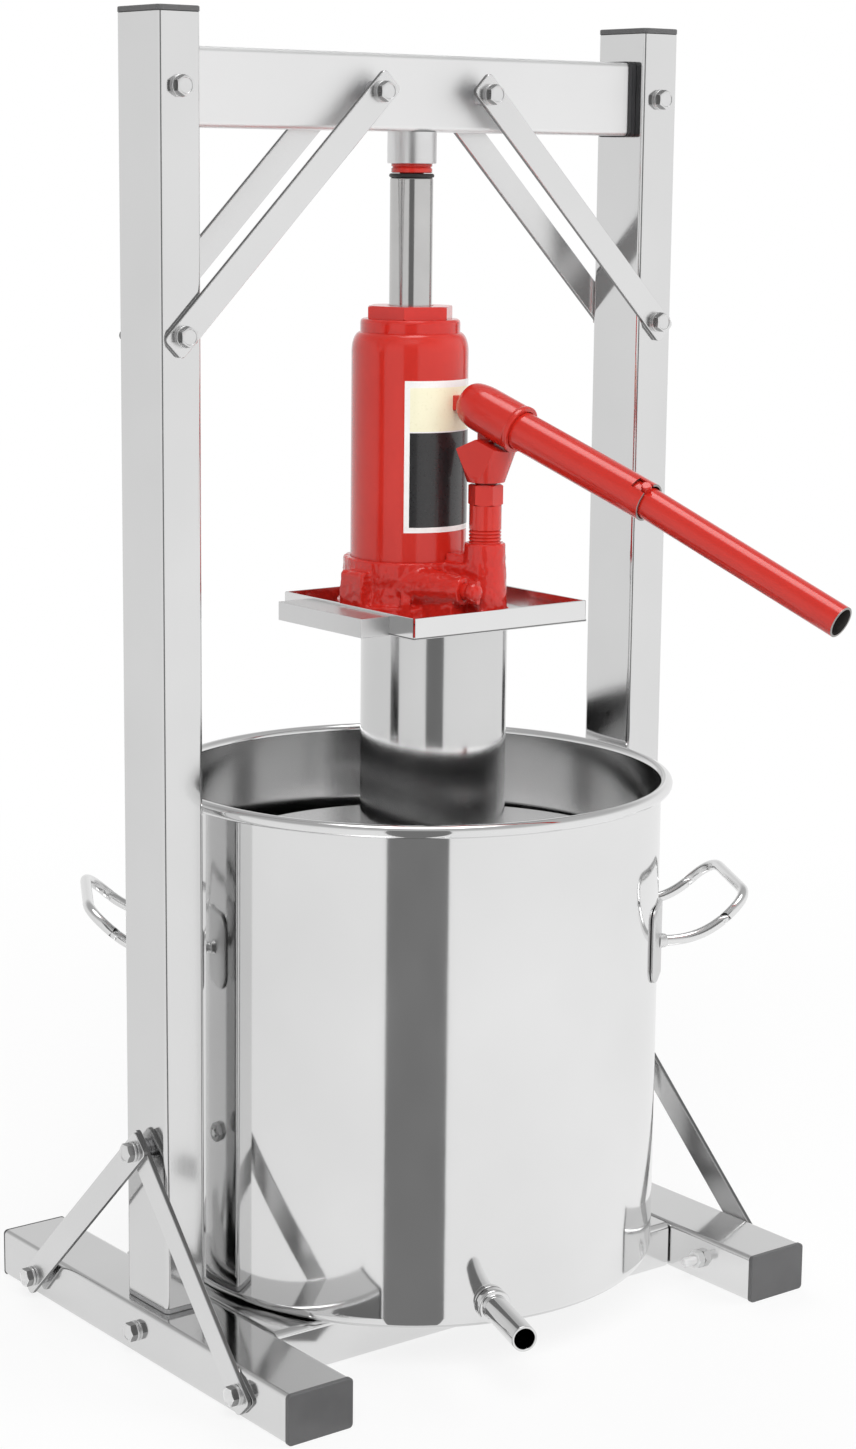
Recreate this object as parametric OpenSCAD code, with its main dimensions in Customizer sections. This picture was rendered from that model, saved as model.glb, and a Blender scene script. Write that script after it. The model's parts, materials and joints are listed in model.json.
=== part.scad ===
// Hydraulic fruit press: a bolted tube frame, a bottle jack that pushes up on the crossbeam
// and, through a tray, a column and a round plate, down into a steel barrel with a spout.
// X runs along the crossbeam, Y from front to back, Z up from the floor. Millimetres.

/* [Frame tubes] */
// Narrow side of the upright and crossbeam tube
tube_w = 27; // [24:0.5:32]
// Wide side of the upright and crossbeam tube
tube_d = 43; // [38:0.5:52]
// Wall of all frame tubes
tube_wall = 1.5; // [1:0.1:2.5]
// Outside corner radius of all frame tubes
tube_corner = 3; // [2.6:0.1:5]
// Width of a foot tube
foot_w = 43; // [40:0.5:60]
// Height of a foot tube and of the base box
foot_h = 29; // [26:0.5:40]
// Length of a foot tube without its end caps
foot_len = 305; // [280:1:380]
// Top of the upright tubes above the floor
post_top = 760; // [740:1:860]
// Height of the crossbeam's centre line
beam_z = 721; // [705:1:735]
// Front to back size of the box that the barrel stands on
base_depth = 162; // [120:1:190]
// Wall of the base box
base_wall = 2; // [1.5:0.1:3]
// Thickness of the plates welded into the base box's ends
end_plate_t = 4; // [3:0.5:6]
// Thickness of a plastic end cap's flange
cap_t = 3; // [2:0.5:5]
// Length of a plastic end cap's plug inside its tube
cap_plug = 12; // [8:1:18]
// Wall of a plastic end cap's plug
cap_wall = 1.5; // [1:0.1:2]
// Gap between a cap's plug and its tube
cap_clear = 0.1; // [0.05:0.05:0.3]

/* [Braces and splice bars] */
// Width of a flat brace
brace_w = 16; // [14:0.5:20]
// Thickness of a flat brace
brace_t = 3; // [2:0.5:4]
// Brace metal beyond each hole centre
brace_end = 10; // [9:0.5:14]
// Radius of a brace's corners
brace_corner = 3; // [1:0.5:5]
// Sideways and downward distance between an upper brace's holes
upper_reach = 133; // [110:1:136]
// Forward and upward distance between a lower brace's holes
lower_reach = 109; // [90:1:125]
// Thickness of a splice bar
splice_t = 8; // [6:0.5:9]
// Width of a splice bar
splice_w = 28; // [22:1:32]
// Splice bar beyond each hole centre
splice_end = 10; // [8:0.5:11]
// Gap around a splice bar where it passes through a wall or cap
splice_clear = 0.3; // [0.1:0.1:0.6]

/* [Bolts] */
// Bolt shank radius
bolt_r = 3; // [2.5:0.5:4]
// Radial gap between a bolt and its hole
bolt_clear = 0.25; // [0.15:0.05:0.5]
// Width of a bolt head or nut across its flats
head_af = 10; // [9:0.5:13]
// Height of a bolt head
head_h = 4; // [3:0.1:6]
// Height of a nut
nut_h = 5; // [4:0.5:7]
// Bolt thread that shows past its nut
bolt_end = 3; // [1:0.5:5]
// Bolt thread that shows past the nut on a foot's inner side
foot_bolt_end = 9; // [2:0.5:12]
// Height of the thin nut inside an upright, next to the barrel
thin_nut_h = 4.5; // [3.5:0.1:5]
// Bolt thread that shows past a thin nut
thin_nut_end = 0.8; // [0.3:0.1:1.2]
// Washer and sleeve radius
washer_r = 6; // [5.9:0.1:8]
// Washer thickness
washer_t = 1.6; // [1:0.1:2.5]

/* [Barrel] */
// Outside radius of the barrel
barrel_r = 148; // [140:1:170]
// Height of the barrel with its rim
barrel_h = 296; // [270:1:330]
// Wall of the barrel
barrel_wall = 1.5; // [1:0.1:2.5]
// Bottom thickness of the barrel
barrel_floor = 2; // [1.5:0.1:4]
// Radius of the barrel's bottom corner
barrel_fillet = 8; // [5:0.5:14]
// Radius of the rolled rim's bead
bead_r = 3.8; // [3:0.1:5]
// Room between the rolled rim and each upright
post_clear = 4.4; // [3.5:0.1:20]
// Barrel centre to the right of the frame's centre
barrel_x = 2; // [0:0.5:2.5]
// Barrel centre in front of the frame's centre
barrel_y = 6; // [0:0.5:8]
// Room between the left handle's rear boss and the left upright
handle_gap = 3; // [0.5:0.1:6]
// Half the distance between a handle's legs
handle_half = 47; // [42:0.5:47.5]
// Height of the handle legs above the floor of the frame
handle_z = 228; // [180:1:240]
// Straight part of a handle leg beyond the barrel
handle_flat = 19; // [14:1:24]
// Reach of the grip's centre beyond the barrel
handle_reach = 48; // [36:1:56]
// Rise of the grip above the legs
handle_rise = 26; // [16:1:34]
// Radius of the handle wire
wire_r = 3; // [2.5:0.5:4.5]
// Length taken by the bends of the handle wire
wire_bend = 15; // [8:1:18]
// Width of a handle bracket
bracket_w = 40; // [30:1:44]
// Height of a handle bracket
bracket_h = 46; // [36:1:60]
// Thickness of a handle bracket
bracket_t = 2; // [1.5:0.1:3]
// Outside radius of a handle boss
boss_r = 6; // [5.5:0.5:8.5]
// Length of a handle boss outside the barrel, at the middle of the handle
boss_len = 13; // [11:0.5:16]
// Turn of the spout from straight right towards the front
spout_turn = 109; // [100:1:120]
// Spout centre above the barrel's underside
spout_up = 15; // [13:0.5:30]
// Outside radius of the spout
spout_r = 7.5; // [6:0.5:9]
// Bore radius of the spout
spout_bore = 6; // [4:0.5:6.5]
// Length of the spout outside the barrel
spout_len = 54; // [30:1:60]
// Radius of the spout's welded collar
collar_r = 10; // [9.5:0.5:12]
// Length of the spout's welded collar
collar_len = 6; // [3:0.5:10]

/* [Press plate, column and tray] */
// Room between the plate's edge and the barrel's inside
plate_gap = 12; // [11.5:0.5:20]
// Thickness of the press plate
plate_t = 6; // [3:0.5:12]
// Depth of the press plate's top below the barrel's rim
plate_depth = 50; // [20:1:80]
// Outside radius of the column
column_r = 43.5; // [36:0.5:50]
// Wall of the column
column_wall = 2; // [1.5:0.1:4]
// Side of the square tray
tray_side = 128; // [124:1:150]
// Height of the tray's edge
tray_h = 12.5; // [9:0.5:20]
// Sheet thickness of the tray
tray_t = 1.5; // [1:0.1:2.5]
// Slit left open at each corner of the tray
tray_slit = 1; // [0.5:0.1:2]
// Length of the tray's grip
grip_len = 82; // [60:1:100]
// Stand-off of the tray's grip
grip_out = 20; // [16:1:30]
// Height of the tray's grip
grip_h = 11; // [8:0.5:12]
// Sheet thickness of the tray's grip
grip_t = 2; // [1.5:0.1:3]

/* [Jack] */
// Tray centre to ram axis, along the lever
tray_offset = 16; // [12:0.5:17]
// Direction of the tray's offset, turned clockwise from +X
tray_turn = 45; // [40:1:50]
// Turn of the jack and its lever from straight right towards the front
lever_turn = 75; // [70:1:78]
// Outside radius of the thrust cup
cup_r = 14.2; // [13.8:0.1:18]
// Height of the thrust cup
cup_h = 18; // [12:0.5:19]
// Top thickness of the thrust cup
cup_top = 5; // [3:0.5:6]
// Gap around the screw head in the thrust cup
cup_clear = 0.4; // [0.3:0.05:0.8]
// Radius of the extension screw's head
screw_head_r = 11.9; // [11:0.1:12.4]
// Height of the extension screw's head
screw_head_h = 18.3; // [17:0.1:24]
// Radius of the extension screw's shank
screw_r = 7; // [6:0.5:8]
// Length of the extension screw's shank
screw_len = 62; // [50:1:70]
// Gap around the extension screw in the ram
screw_clear = 0.06; // [0.02:0.01:0.1]
// Ram radius
ram_r = 12.5; // [12:0.1:13.5]
// Ram length that stands out of the jack at rest
ram_out = 73; // [70:0.5:90]
// Ram length inside the jack at rest, above its piston
ram_in = 70; // [55:1:72]
// Running gap of the ram in the top nut and of the piston in the cylinder
ram_clear = 0.05; // [0.02:0.01:0.09]
// Wire radius of the ring on top of the ram
ring_r = 1.2; // [0.8:0.1:1.6]
// Piston height
piston_h = 14; // [10:0.5:16]
// Reservoir radius
body_r = 34.2; // [32:0.1:34.4]
// Reservoir height
body_h = 139.5; // [138:0.5:160]
// Reservoir wall
body_wall = 2.5; // [1.5:0.1:3.5]
// Outside radius of the pressure cylinder
cyl_r = 19; // [17.5:0.1:21]
// Bore radius of the pressure cylinder
cyl_bore = 15; // [14.5:0.1:16]
// Depth to which the pressure cylinder sits in the base
cyl_seat = 6; // [4:0.5:9]
// Height of the top nut's hexagon
nut_hex_h = 7.5; // [6:0.5:12]
// Width of the top nut's hexagon across its flats
nut_hex_af = 46; // [42:0.5:50]
// Height of the top nut's round collar
nut_collar_h = 7.5; // [5:0.5:10]
// Radius of the top nut's round collar
nut_collar_r = 29.2; // [27:0.1:30]
// Depth of the top nut inside the reservoir
nut_plug = 16; // [10:0.5:20]
// Height of the cast base
jack_base_h = 27; // [25:0.5:34]
// Height of the cast base's collar around the reservoir
hub_collar = 8; // [5:0.5:10]
// Gap between the cast base's collar and the reservoir
hub_clear = 0.3; // [0.1:0.05:0.5]
// Radius of the cast base's round flange
base_flange_r = 43; // [40:0.5:44]
// Thickness of the cast base's flange
base_flange_h = 10; // [8:0.5:14]
// Radius of the cast base's hub
hub_r = 38; // [36.5:0.5:40]
// Half width of the cast base's nose
nose_half = 13; // [11:0.5:13.5]
// End of the cast base's nose, from the ram axis
nose_end = 65; // [62:0.5:67]
// Thickness of a side rib on the cast base
rib_t = 6; // [4:0.5:10]
// Height of a side rib on the cast base
rib_h = 22; // [16:0.5:26]
// Turn of the side ribs from the lever's direction
rib_turn = 54; // [50:1:70]
// Thickness of the cast base's lug
lug_t = 16; // [10:0.5:24]
// Height of the cast base's lug
lug_h = 28; // [22:0.5:30]
// Reach of the cast base's lug from the ram axis
lug_reach = 45; // [44:0.5:47]
// Turn of the cast base's lug from the lever's direction
lug_turn = 100; // [90:1:110]

/* [Pump and lever] */
// Lever fulcrum from the ram axis
fulcrum_r = 47; // [46.5:0.1:48]
// Lever fulcrum above the jack's underside
fulcrum_h = 127; // [126:0.5:130]
// Distance from the fulcrum to the plunger's pin
pump_arm = 10; // [9.6:0.1:11]
// Full swing of the lever
lever_swing = 45; // [30:1:45]
// Downward tilt of the lever at rest
lever_tilt = 21.5; // [19:0.5:24]
// Radius of the fulcrum and plunger pins
pin_r = 2.2; // [1.8:0.1:2.4]
// Running gap of the lever socket on its pins
pin_clear = 0.05; // [0.02:0.01:0.09]
// Thickness of the fulcrum lug and of the plunger's tang
tang_t = 7; // [5:0.5:9]
// Gap on each side of the lug and the tang
tang_clear = 0.3; // [0.2:0.05:0.5]
// Half width of the plunger's tang
tang_half = 4; // [3.4:0.1:4.2]
// Radius of the pump boss on the base
boss_pump_r = 12; // [11:0.5:12.5]
// Top of the pump boss above the jack's underside
boss_pump_h = 47.5; // [40:0.5:50]
// Outside radius of the pump barrel
pump_tube_r = 9.5; // [8.5:0.1:10.5]
// Top of the pump barrel above the jack's underside
pump_tube_top = 81.5; // [74:0.5:82]
// Width of the pump barrel's hexagon across its flats
pump_hex_af = 17.6; // [16:0.1:19]
// Height of the pump barrel's hexagon
pump_hex_h = 12.5; // [8:0.5:14]
// Plunger radius
plunger_r = 6; // [4.5:0.1:6.5]
// Running gap of the plunger in the pump barrel
plunger_clear = 0.04; // [0.02:0.01:0.09]
// Underside of the plunger's yoke above the jack's underside
yoke_low = 82.6; // [82.4:0.1:84]
// Height of the plunger's yoke before the lever socket's room is cut from it
yoke_h = 26; // [20:0.5:28]
// Lower radius of the plunger's yoke
yoke_r1 = 11; // [9:0.5:12]
// Upper radius of the plunger's yoke
yoke_r2 = 20; // [14:0.5:21]
// Half thickness of the plunger's yoke
yoke_half = 11.5; // [9:0.5:12]
// Gap between the plunger's yoke and the lever socket
yoke_clear = 0.6; // [0.4:0.1:1.5]
// Outside radius of the lever socket
socket_r = 14; // [13.4:0.1:14.2]
// Length of the lever socket beyond the fulcrum
socket_len = 36.5; // [34:0.5:46]
// Length of the lever socket behind the fulcrum
socket_back = 6; // [4:0.5:6.5]
// Start of the lever socket's bore beyond the fulcrum
socket_bore_at = 21.5; // [21.5:0.5:24]
// Outside radius of the lever tube
lever_r = 11.2; // [10.5:0.1:11.8]
// Gap around the lever tube in its socket
lever_clear = 0.15; // [0.05:0.05:0.3]
// Wall of the lever tube and of its extension
lever_wall = 1.3; // [1:0.1:1.4]
// Length of the lever tube
lever_len = 109; // [90:1:120]
// Outside radius of the lever's extension
ext_r = 9.1; // [8.5:0.1:9.1]
// Length of the lever's extension
ext_len = 155; // [130:1:165]
// Depth of the extension in the lever tube
ext_in = 20; // [16:0.5:20]
// Downward droop of the extension in its loose fit
ext_droop = 2.1; // [1.5:0.1:3.9]
// Radius of the extension's catch pin
catch_r = 2.9; // [2:0.1:3]
// Height of the catch pin above the extension
catch_h = 4; // [3:0.1:5]
// Gap around the catch pin in the lever's slot
catch_clear = 1.1; // [0.4:0.1:1.5]
// Catch pin from the lever tube's end
catch_in = 2; // [0:0.5:4]
// Depth of the catch pin's slot in the lever tube's end
catch_slot = 9.5; // [8.5:0.5:14]
// Face of the release valve's boss from the ram axis, along the lever
valve_at = 58; // [56:0.5:60]
// Release valve beside the lever's plane
valve_side = 21; // [21:0.5:23]
// Radius of the release valve's boss
valve_boss_r = 8.7; // [8:0.1:8.8]
// Release valve above the jack's underside
valve_h = 21; // [16:0.5:21.5]
// Radius of the release valve's stem
valve_r = 5; // [4:0.1:6]
// Running gap of the release valve's stem
valve_clear = 0.05; // [0.02:0.01:0.09]
// Depth of the release valve in the base
valve_in = 12; // [8:0.5:14]
// Length of the release valve's winged head
valve_head = 11; // [8:0.5:13]
// Half span of the release valve's wings
wing_half = 7; // [6:0.5:7.5]
// Thickness of the release valve's wings
wing_t = 3.5; // [2.5:0.1:5]
// Radius of the check balls
ball_r = 3; // [2.5:0.1:3.4]
// Gap around a check ball in its pocket
ball_clear = 0.2; // [0.1:0.05:0.4]

/* [Hidden] */
$fn = 64;
// Overshoot of a cut past the face it opens
eps = 0.5;
// Gap left at curved faces that are welded together
weld_gap = 0.03;

bolt_hole_r = bolt_r + bolt_clear;
post_half_gap = barrel_r - barrel_wall + 2*bead_r + post_clear;
post_x = post_half_gap + tube_w/2;
post_out = post_half_gap + tube_w;
post_z0 = foot_h + cap_t;
post_len = post_top - post_z0;
foot_in = post_x - foot_w/2;
foot_out = post_x + foot_w/2;
beam_half = post_half_gap - cap_t;
upper_beam_x = post_x - upper_reach;
upper_post_z = beam_z - upper_reach;
foot_bolt_z = foot_h/2;
lower_bolt_z = foot_bolt_z + lower_reach;
brace_y = tube_d/2;
splice_out = post_out - tube_wall;
spacer_len = foot_out - post_out;
front_stack = brace_y + brace_t + washer_t;

barrel_in = barrel_r - barrel_wall;
barrel_pos = [barrel_x, -barrel_y, foot_h];
handle_chord = sqrt(barrel_r*barrel_r - handle_half*handle_half);
handle_mid = barrel_r + handle_reach;
// The handles are turned just far enough for the left one to pass behind the left upright
handle_side = post_half_gap + barrel_x;
handle_back = tube_d/2 + boss_r + handle_gap + barrel_y;
handle_turn = atan2(handle_back, handle_side)
  + asin(handle_half/sqrt(handle_side*handle_side + handle_back*handle_back));

cup_low = beam_z - tube_d/2 - cup_h;
screw_top = beam_z - tube_d/2 - cup_top;
ring_gap = 0.3;
ram_top = screw_top - screw_head_h - 2*ring_r - ring_gap;
nut_top = ram_top - ram_out;
body_top = nut_top - nut_hex_h - nut_collar_h;
jack_z = body_top - body_h - jack_base_h;
body_low = jack_base_h;
nut_low = jack_base_h + body_h;
tray_z = jack_z - tray_t;
plate_top = foot_h + barrel_h - plate_depth;
column_h = tray_z - plate_top;
plate_r = barrel_in - plate_gap;
tray_pos = [tray_offset*cos(tray_turn), -tray_offset*sin(tray_turn)];
ram_low = nut_top - ram_in;
cyl_floor = jack_base_h - cyl_seat;

// The plunger's pin swings evenly above and below the fulcrum's level
pump_r = fulcrum_r + pump_arm*cos(lever_swing/2);
pump_pin_h = fulcrum_h - pump_arm*sin(lever_swing/2);
pump_slack = pump_arm*(1 - cos(lever_swing/2)) + 0.25;
pump_floor = 12;
lever_start = socket_bore_at + 0.3;
lever_end = lever_start + lever_len;

steel = [0.80, 0.81, 0.82];
bolt_steel = [0.70, 0.71, 0.72];
plastic = [0.30, 0.31, 0.32];
jack_red = [0.72, 0.07, 0.08];
rubber = [0.08, 0.08, 0.08];

// Shapes that repeat

// Rectangle with round corners, centred
module round_rect(w, d, r) {
  square([w - 2*r, d], center = true);
  square([w, d - 2*r], center = true);
  for (x = [-1, 1], y = [-1, 1]) translate([x*(w/2 - r), y*(d/2 - r)]) circle(r);
}

// Rectangular tube that stands on the origin
module rect_tube(w, d, len, wall) {
  difference() {
    linear_extrude(len) round_rect(w, d, tube_corner);
    translate([0, 0, -eps]) linear_extrude(len + 2*eps)
      round_rect(w - 2*wall, d - 2*wall, tube_corner - wall);
  }
}

// Plastic end cap for such a tube: its flange starts at the origin, its plug points down
module end_cap(w, d, wall) {
  plug_w = w - 2*wall - 2*cap_clear;
  plug_d = d - 2*wall - 2*cap_clear;
  plug_r = tube_corner - wall;
  linear_extrude(cap_t) round_rect(w, d, tube_corner);
  translate([0, 0, -cap_plug]) difference() {
    linear_extrude(cap_plug) round_rect(plug_w, plug_d, plug_r);
    translate([0, 0, -eps]) linear_extrude(cap_plug + eps)
      square([plug_w - 2*cap_wall, plug_d - 2*cap_wall], center = true);
  }
}

// Turns children that point up so that they point along X or Y
module along_x(p) { translate(p) rotate([0, 90, 0]) children(); }
module along_y(p) { translate(p) rotate([-90, 0, 0]) children(); }

// Copies on the right and on the left
module both_sides() {
  children();
  mirror([1, 0, 0]) children();
}

// Bolt whose head ends at the origin and whose shank points up
module bolt(len) {
  translate([0, 0, -head_h]) cylinder(h = head_h, d = head_af/cos(30), $fn = 6);
  cylinder(h = len, r = bolt_r);
}

module hex_nut(h) {
  difference() {
    cylinder(h = h, d = head_af/cos(30), $fn = 6);
    translate([0, 0, -eps]) cylinder(h = h + 2*eps, r = bolt_hole_r);
  }
}

// Washer or sleeve that stands on the origin
module sleeve(len) {
  difference() {
    cylinder(h = len, r = washer_r);
    translate([0, 0, -eps]) cylinder(h = len + 2*eps, r = bolt_hole_r);
  }
}

// Outline of a flat brace from a hole at the origin to a hole at [dx, dy]
module brace_outline(dx, dy) {
  len = sqrt(dx*dx + dy*dy);
  difference() {
    rotate(atan2(dy, dx)) translate([len/2, 0]) round_rect(len + 2*brace_end, brace_w, brace_corner);
    circle(bolt_hole_r);
    translate([dx, dy]) circle(bolt_hole_r);
  }
}

// Outline of a splice bar with two holes, along X from the origin
module splice_outline(len) {
  difference() {
    translate([-splice_end, -splice_w/2]) square([len + 2*splice_end, splice_w]);
    circle(bolt_hole_r);
    translate([len, 0]) circle(bolt_hole_r);
  }
}

// Opening for a splice bar
module splice_slot() {
  square([splice_t + 2*splice_clear, splice_w + 2*splice_clear], center = true);
}

// Frame

// Foot on the right: a flat tube with bolt holes and a slot for the splice bar
module foot() {
  difference() {
    along_y([post_x, -foot_len/2, foot_h/2]) rect_tube(foot_w, foot_h, foot_len, tube_wall);
    for (y = [-lower_reach, 0, lower_reach])
      along_x([foot_in - eps, y, foot_bolt_z]) cylinder(h = foot_w + 2*eps, r = bolt_hole_r);
    translate([splice_out - splice_t/2, 0, foot_h/2]) linear_extrude(foot_h) splice_slot();
  }
}

module right_foot() { color(steel) foot(); }
module left_foot() { color(steel) mirror([1, 0, 0]) foot(); }

module foot_end_caps() {
  color(plastic) both_sides() for (s = [-1, 1])
    translate([post_x, s*foot_len/2, foot_h/2]) rotate([-90*s, 0, 0]) end_cap(foot_w, foot_h, tube_wall);
}

module base_box() {
  color(steel) along_x([-foot_in, 0, foot_h/2])
    rect_tube(foot_h, base_depth, 2*foot_in, base_wall);
}

module base_end_plates() {
  color(steel) both_sides() difference() {
    along_x([foot_in - end_plate_t, 0, foot_h/2]) linear_extrude(end_plate_t)
      square([foot_h - 2*base_wall, base_depth - 2*tube_corner], center = true);
    along_x([foot_in - end_plate_t - eps, 0, foot_bolt_z])
      cylinder(h = end_plate_t + 2*eps, r = bolt_hole_r);
  }
}

// Upright on the right: open slot for the crossbeam's splice bar in its inner wall
module upright() {
  difference() {
    translate([post_x, 0, post_z0]) rect_tube(tube_w, tube_d, post_len, tube_wall);
    for (z = [beam_z, upper_post_z])
      along_y([post_x, -tube_d/2 - eps, z]) cylinder(h = tube_d + 2*eps, r = bolt_hole_r);
    along_x([post_half_gap - eps, 0, lower_bolt_z]) cylinder(h = tube_w + 2*eps, r = bolt_hole_r);
    along_x([post_half_gap - eps, 0, beam_z]) linear_extrude(tube_wall + 2*eps)
      rotate(90) splice_slot();
  }
}

module right_upright() { color(steel) upright(); }
module left_upright() { color(steel) mirror([1, 0, 0]) upright(); }

module upright_end_caps() {
  color(plastic) both_sides() {
    translate([post_x, 0, post_top]) end_cap(tube_w, tube_d, tube_wall);
    difference() {
      translate([post_x, 0, post_z0]) mirror([0, 0, 1]) end_cap(tube_w, tube_d, tube_wall);
      translate([splice_out - splice_t/2, 0, foot_h - eps])
        linear_extrude(cap_t + cap_plug + 2*eps) splice_slot();
    }
  }
}

module crossbeam() {
  color(steel) difference() {
    along_x([-beam_half, 0, beam_z]) rect_tube(tube_d, tube_w, 2*beam_half, tube_wall);
    for (x = [-upper_beam_x, upper_beam_x])
      along_y([x, -tube_w/2 - eps, beam_z]) cylinder(h = tube_w + 2*eps, r = bolt_hole_r);
  }
}

module beam_end_caps() {
  color(plastic) both_sides() difference() {
    along_x([beam_half, 0, beam_z]) end_cap(tube_d, tube_w, tube_wall);
    along_x([beam_half - cap_plug - eps, 0, beam_z])
      linear_extrude(cap_t + cap_plug + 2*eps) rotate(90) splice_slot();
  }
}

module beam_splice_bars() {
  color(bolt_steel) both_sides()
    translate([upper_beam_x, splice_t/2, beam_z]) rotate([90, 0, 0]) linear_extrude(splice_t)
      splice_outline(upper_reach);
}

module foot_splice_bars() {
  color(bolt_steel) both_sides()
    translate([splice_out, 0, foot_bolt_z]) rotate([0, -90, 0]) linear_extrude(splice_t)
      splice_outline(lower_reach);
}

module upper_braces() {
  color(steel) both_sides()
    translate([upper_beam_x, -brace_y, beam_z]) rotate([90, 0, 0]) linear_extrude(brace_t)
      brace_outline(upper_reach, -upper_reach);
}

module front_upper_braces() { upper_braces(); }
module rear_upper_braces() { mirror([0, 1, 0]) upper_braces(); }

// Lower brace on the right: the front one lies on the foot, the rear one on the front one
module lower_brace(s) {
  color(steel) translate([foot_out + (s + 1)/2*brace_t, 0, lower_bolt_z]) rotate([90, 0, 90])
    linear_extrude(brace_t) brace_outline(s*lower_reach, -lower_reach);
}

module right_front_lower_brace() { lower_brace(-1); }
module right_rear_lower_brace() { lower_brace(1); }
module left_front_lower_brace() { mirror([1, 0, 0]) lower_brace(-1); }
module left_rear_lower_brace() { mirror([1, 0, 0]) lower_brace(1); }

module beam_brace_sleeves() {
  color(bolt_steel) both_sides() for (y = [-brace_y, tube_w/2])
    along_y([upper_beam_x, y, beam_z]) sleeve(brace_y - tube_w/2);
}

module lower_brace_sleeves() {
  color(bolt_steel) both_sides() {
    along_x([post_out, 0, lower_bolt_z]) sleeve(spacer_len);
    along_x([foot_out, lower_reach, foot_bolt_z]) sleeve(brace_t);
  }
}

module upper_brace_bolts() {
  color(bolt_steel) both_sides() for (p = [[upper_beam_x, beam_z], [post_x, upper_post_z]])
    along_y([p[0], -front_stack, p[1]]) bolt(2*front_stack + nut_h + bolt_end);
}

module beam_joint_bolts() {
  reach = tube_d/2 + washer_t;
  color(bolt_steel) both_sides()
    along_y([post_x, -reach, beam_z]) bolt(2*reach + nut_h + bolt_end);
}

module lower_brace_bolts() {
  head = foot_out + 2*brace_t + washer_t;
  color(bolt_steel) both_sides()
    translate([head, 0, lower_bolt_z]) rotate([0, -90, 0])
      bolt(head - post_half_gap + thin_nut_h + thin_nut_end);
}

module foot_brace_bolts() {
  color(bolt_steel) both_sides() for (s = [-1, 1]) {
    head = foot_out + (s + 3)/2*brace_t + washer_t;
    translate([head, s*lower_reach, foot_bolt_z]) rotate([0, -90, 0])
      bolt(head - foot_in + nut_h + foot_bolt_end);
  }
}

module base_bolts() {
  head = foot_out + washer_t;
  color(bolt_steel) both_sides()
    translate([head, 0, foot_bolt_z]) rotate([0, -90, 0])
      bolt(head - foot_in + end_plate_t + nut_h + bolt_end);
}

module hex_nuts() {
  color(bolt_steel) both_sides() {
    for (p = [[upper_beam_x, front_stack, beam_z], [post_x, front_stack, upper_post_z],
              [post_x, tube_d/2 + washer_t, beam_z]])
      along_y(p) hex_nut(nut_h);
    for (y = [-lower_reach, lower_reach]) along_x([foot_in - nut_h, y, foot_bolt_z]) hex_nut(nut_h);
    along_x([foot_in - end_plate_t - nut_h, 0, foot_bolt_z]) hex_nut(nut_h);
    along_x([post_half_gap - thin_nut_h, 0, lower_bolt_z]) hex_nut(thin_nut_h);
  }
}

module flat_washers() {
  color(bolt_steel) both_sides() {
    for (p = [[upper_beam_x, beam_z], [post_x, upper_post_z]], s = [-1, 1])
      along_y([p[0], s > 0 ? brace_y + brace_t : -front_stack, p[1]]) sleeve(washer_t);
    for (y = [-tube_d/2 - washer_t, tube_d/2]) along_y([post_x, y, beam_z]) sleeve(washer_t);
    along_x([foot_out + 2*brace_t, 0, lower_bolt_z]) sleeve(washer_t);
    for (s = [-1, 1])
      along_x([foot_out + (s + 3)/2*brace_t, s*lower_reach, foot_bolt_z]) sleeve(washer_t);
    along_x([foot_out, 0, foot_bolt_z]) sleeve(washer_t);
  }
}

// Jack: pieces that stay with the ram

module thrust_cup() {
  color(steel) translate([0, 0, cup_low]) difference() {
    cylinder(h = cup_h, r = cup_r);
    translate([0, 0, -eps]) cylinder(h = cup_h - cup_top + eps, r = screw_head_r + cup_clear);
  }
}

module ram_screw() {
  groove = 0.6;
  groove_pitch = 2.4;
  color(jack_red) {
    translate([0, 0, screw_top - screw_head_h]) difference() {
      cylinder(h = screw_head_h, r = screw_head_r);
      for (i = [1:4]) translate([0, 0, i*groove_pitch]) rotate_extrude()
        translate([screw_head_r, 0]) circle(groove);
    }
    translate([0, 0, ram_top - screw_len]) cylinder(h = screw_len + 2*ring_r + ring_gap, r = screw_r);
  }
}

module ram() {
  bore = screw_r + screw_clear;
  color(steel) difference() {
    translate([0, 0, ram_low]) cylinder(h = ram_top - ram_low, r = ram_r);
    translate([0, 0, ram_top - screw_len - 1]) cylinder(h = screw_len + 1 + eps, r = bore);
  }
}

module ram_ring() {
  color(rubber) translate([0, 0, ram_top + ring_r]) rotate_extrude()
    translate([ram_r - ring_r/2, 0]) circle(ring_r);
}

module ram_piston() {
  color(bolt_steel) translate([0, 0, ram_low - piston_h]) difference() {
    cylinder(h = piston_h, r = cyl_bore - ram_clear);
    translate([0, 0, piston_h/3]) difference() {
      cylinder(h = piston_h/3, r = cyl_bore);
      cylinder(h = piston_h/3, r = ram_r - 1);
    }
  }
}

module piston_seal() {
  color(rubber) translate([0, 0, ram_low - piston_h*2/3]) difference() {
    cylinder(h = piston_h/3, r = cyl_bore - ram_clear/2);
    translate([0, 0, -eps]) cylinder(h = piston_h + 2*eps, r = ram_r - 1 + weld_gap);
  }
}

// Jack: pieces that travel. Their own frame has its origin under the ram, +X along the lever.

module in_jack() { translate([0, 0, jack_z]) rotate([0, 0, -lever_turn]) children(); }

// Flat outline in the lever's plane, made as thick as t
module lever_plane(t) { translate([0, t/2, 0]) rotate([90, 0, 0]) linear_extrude(t) children(); }

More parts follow.
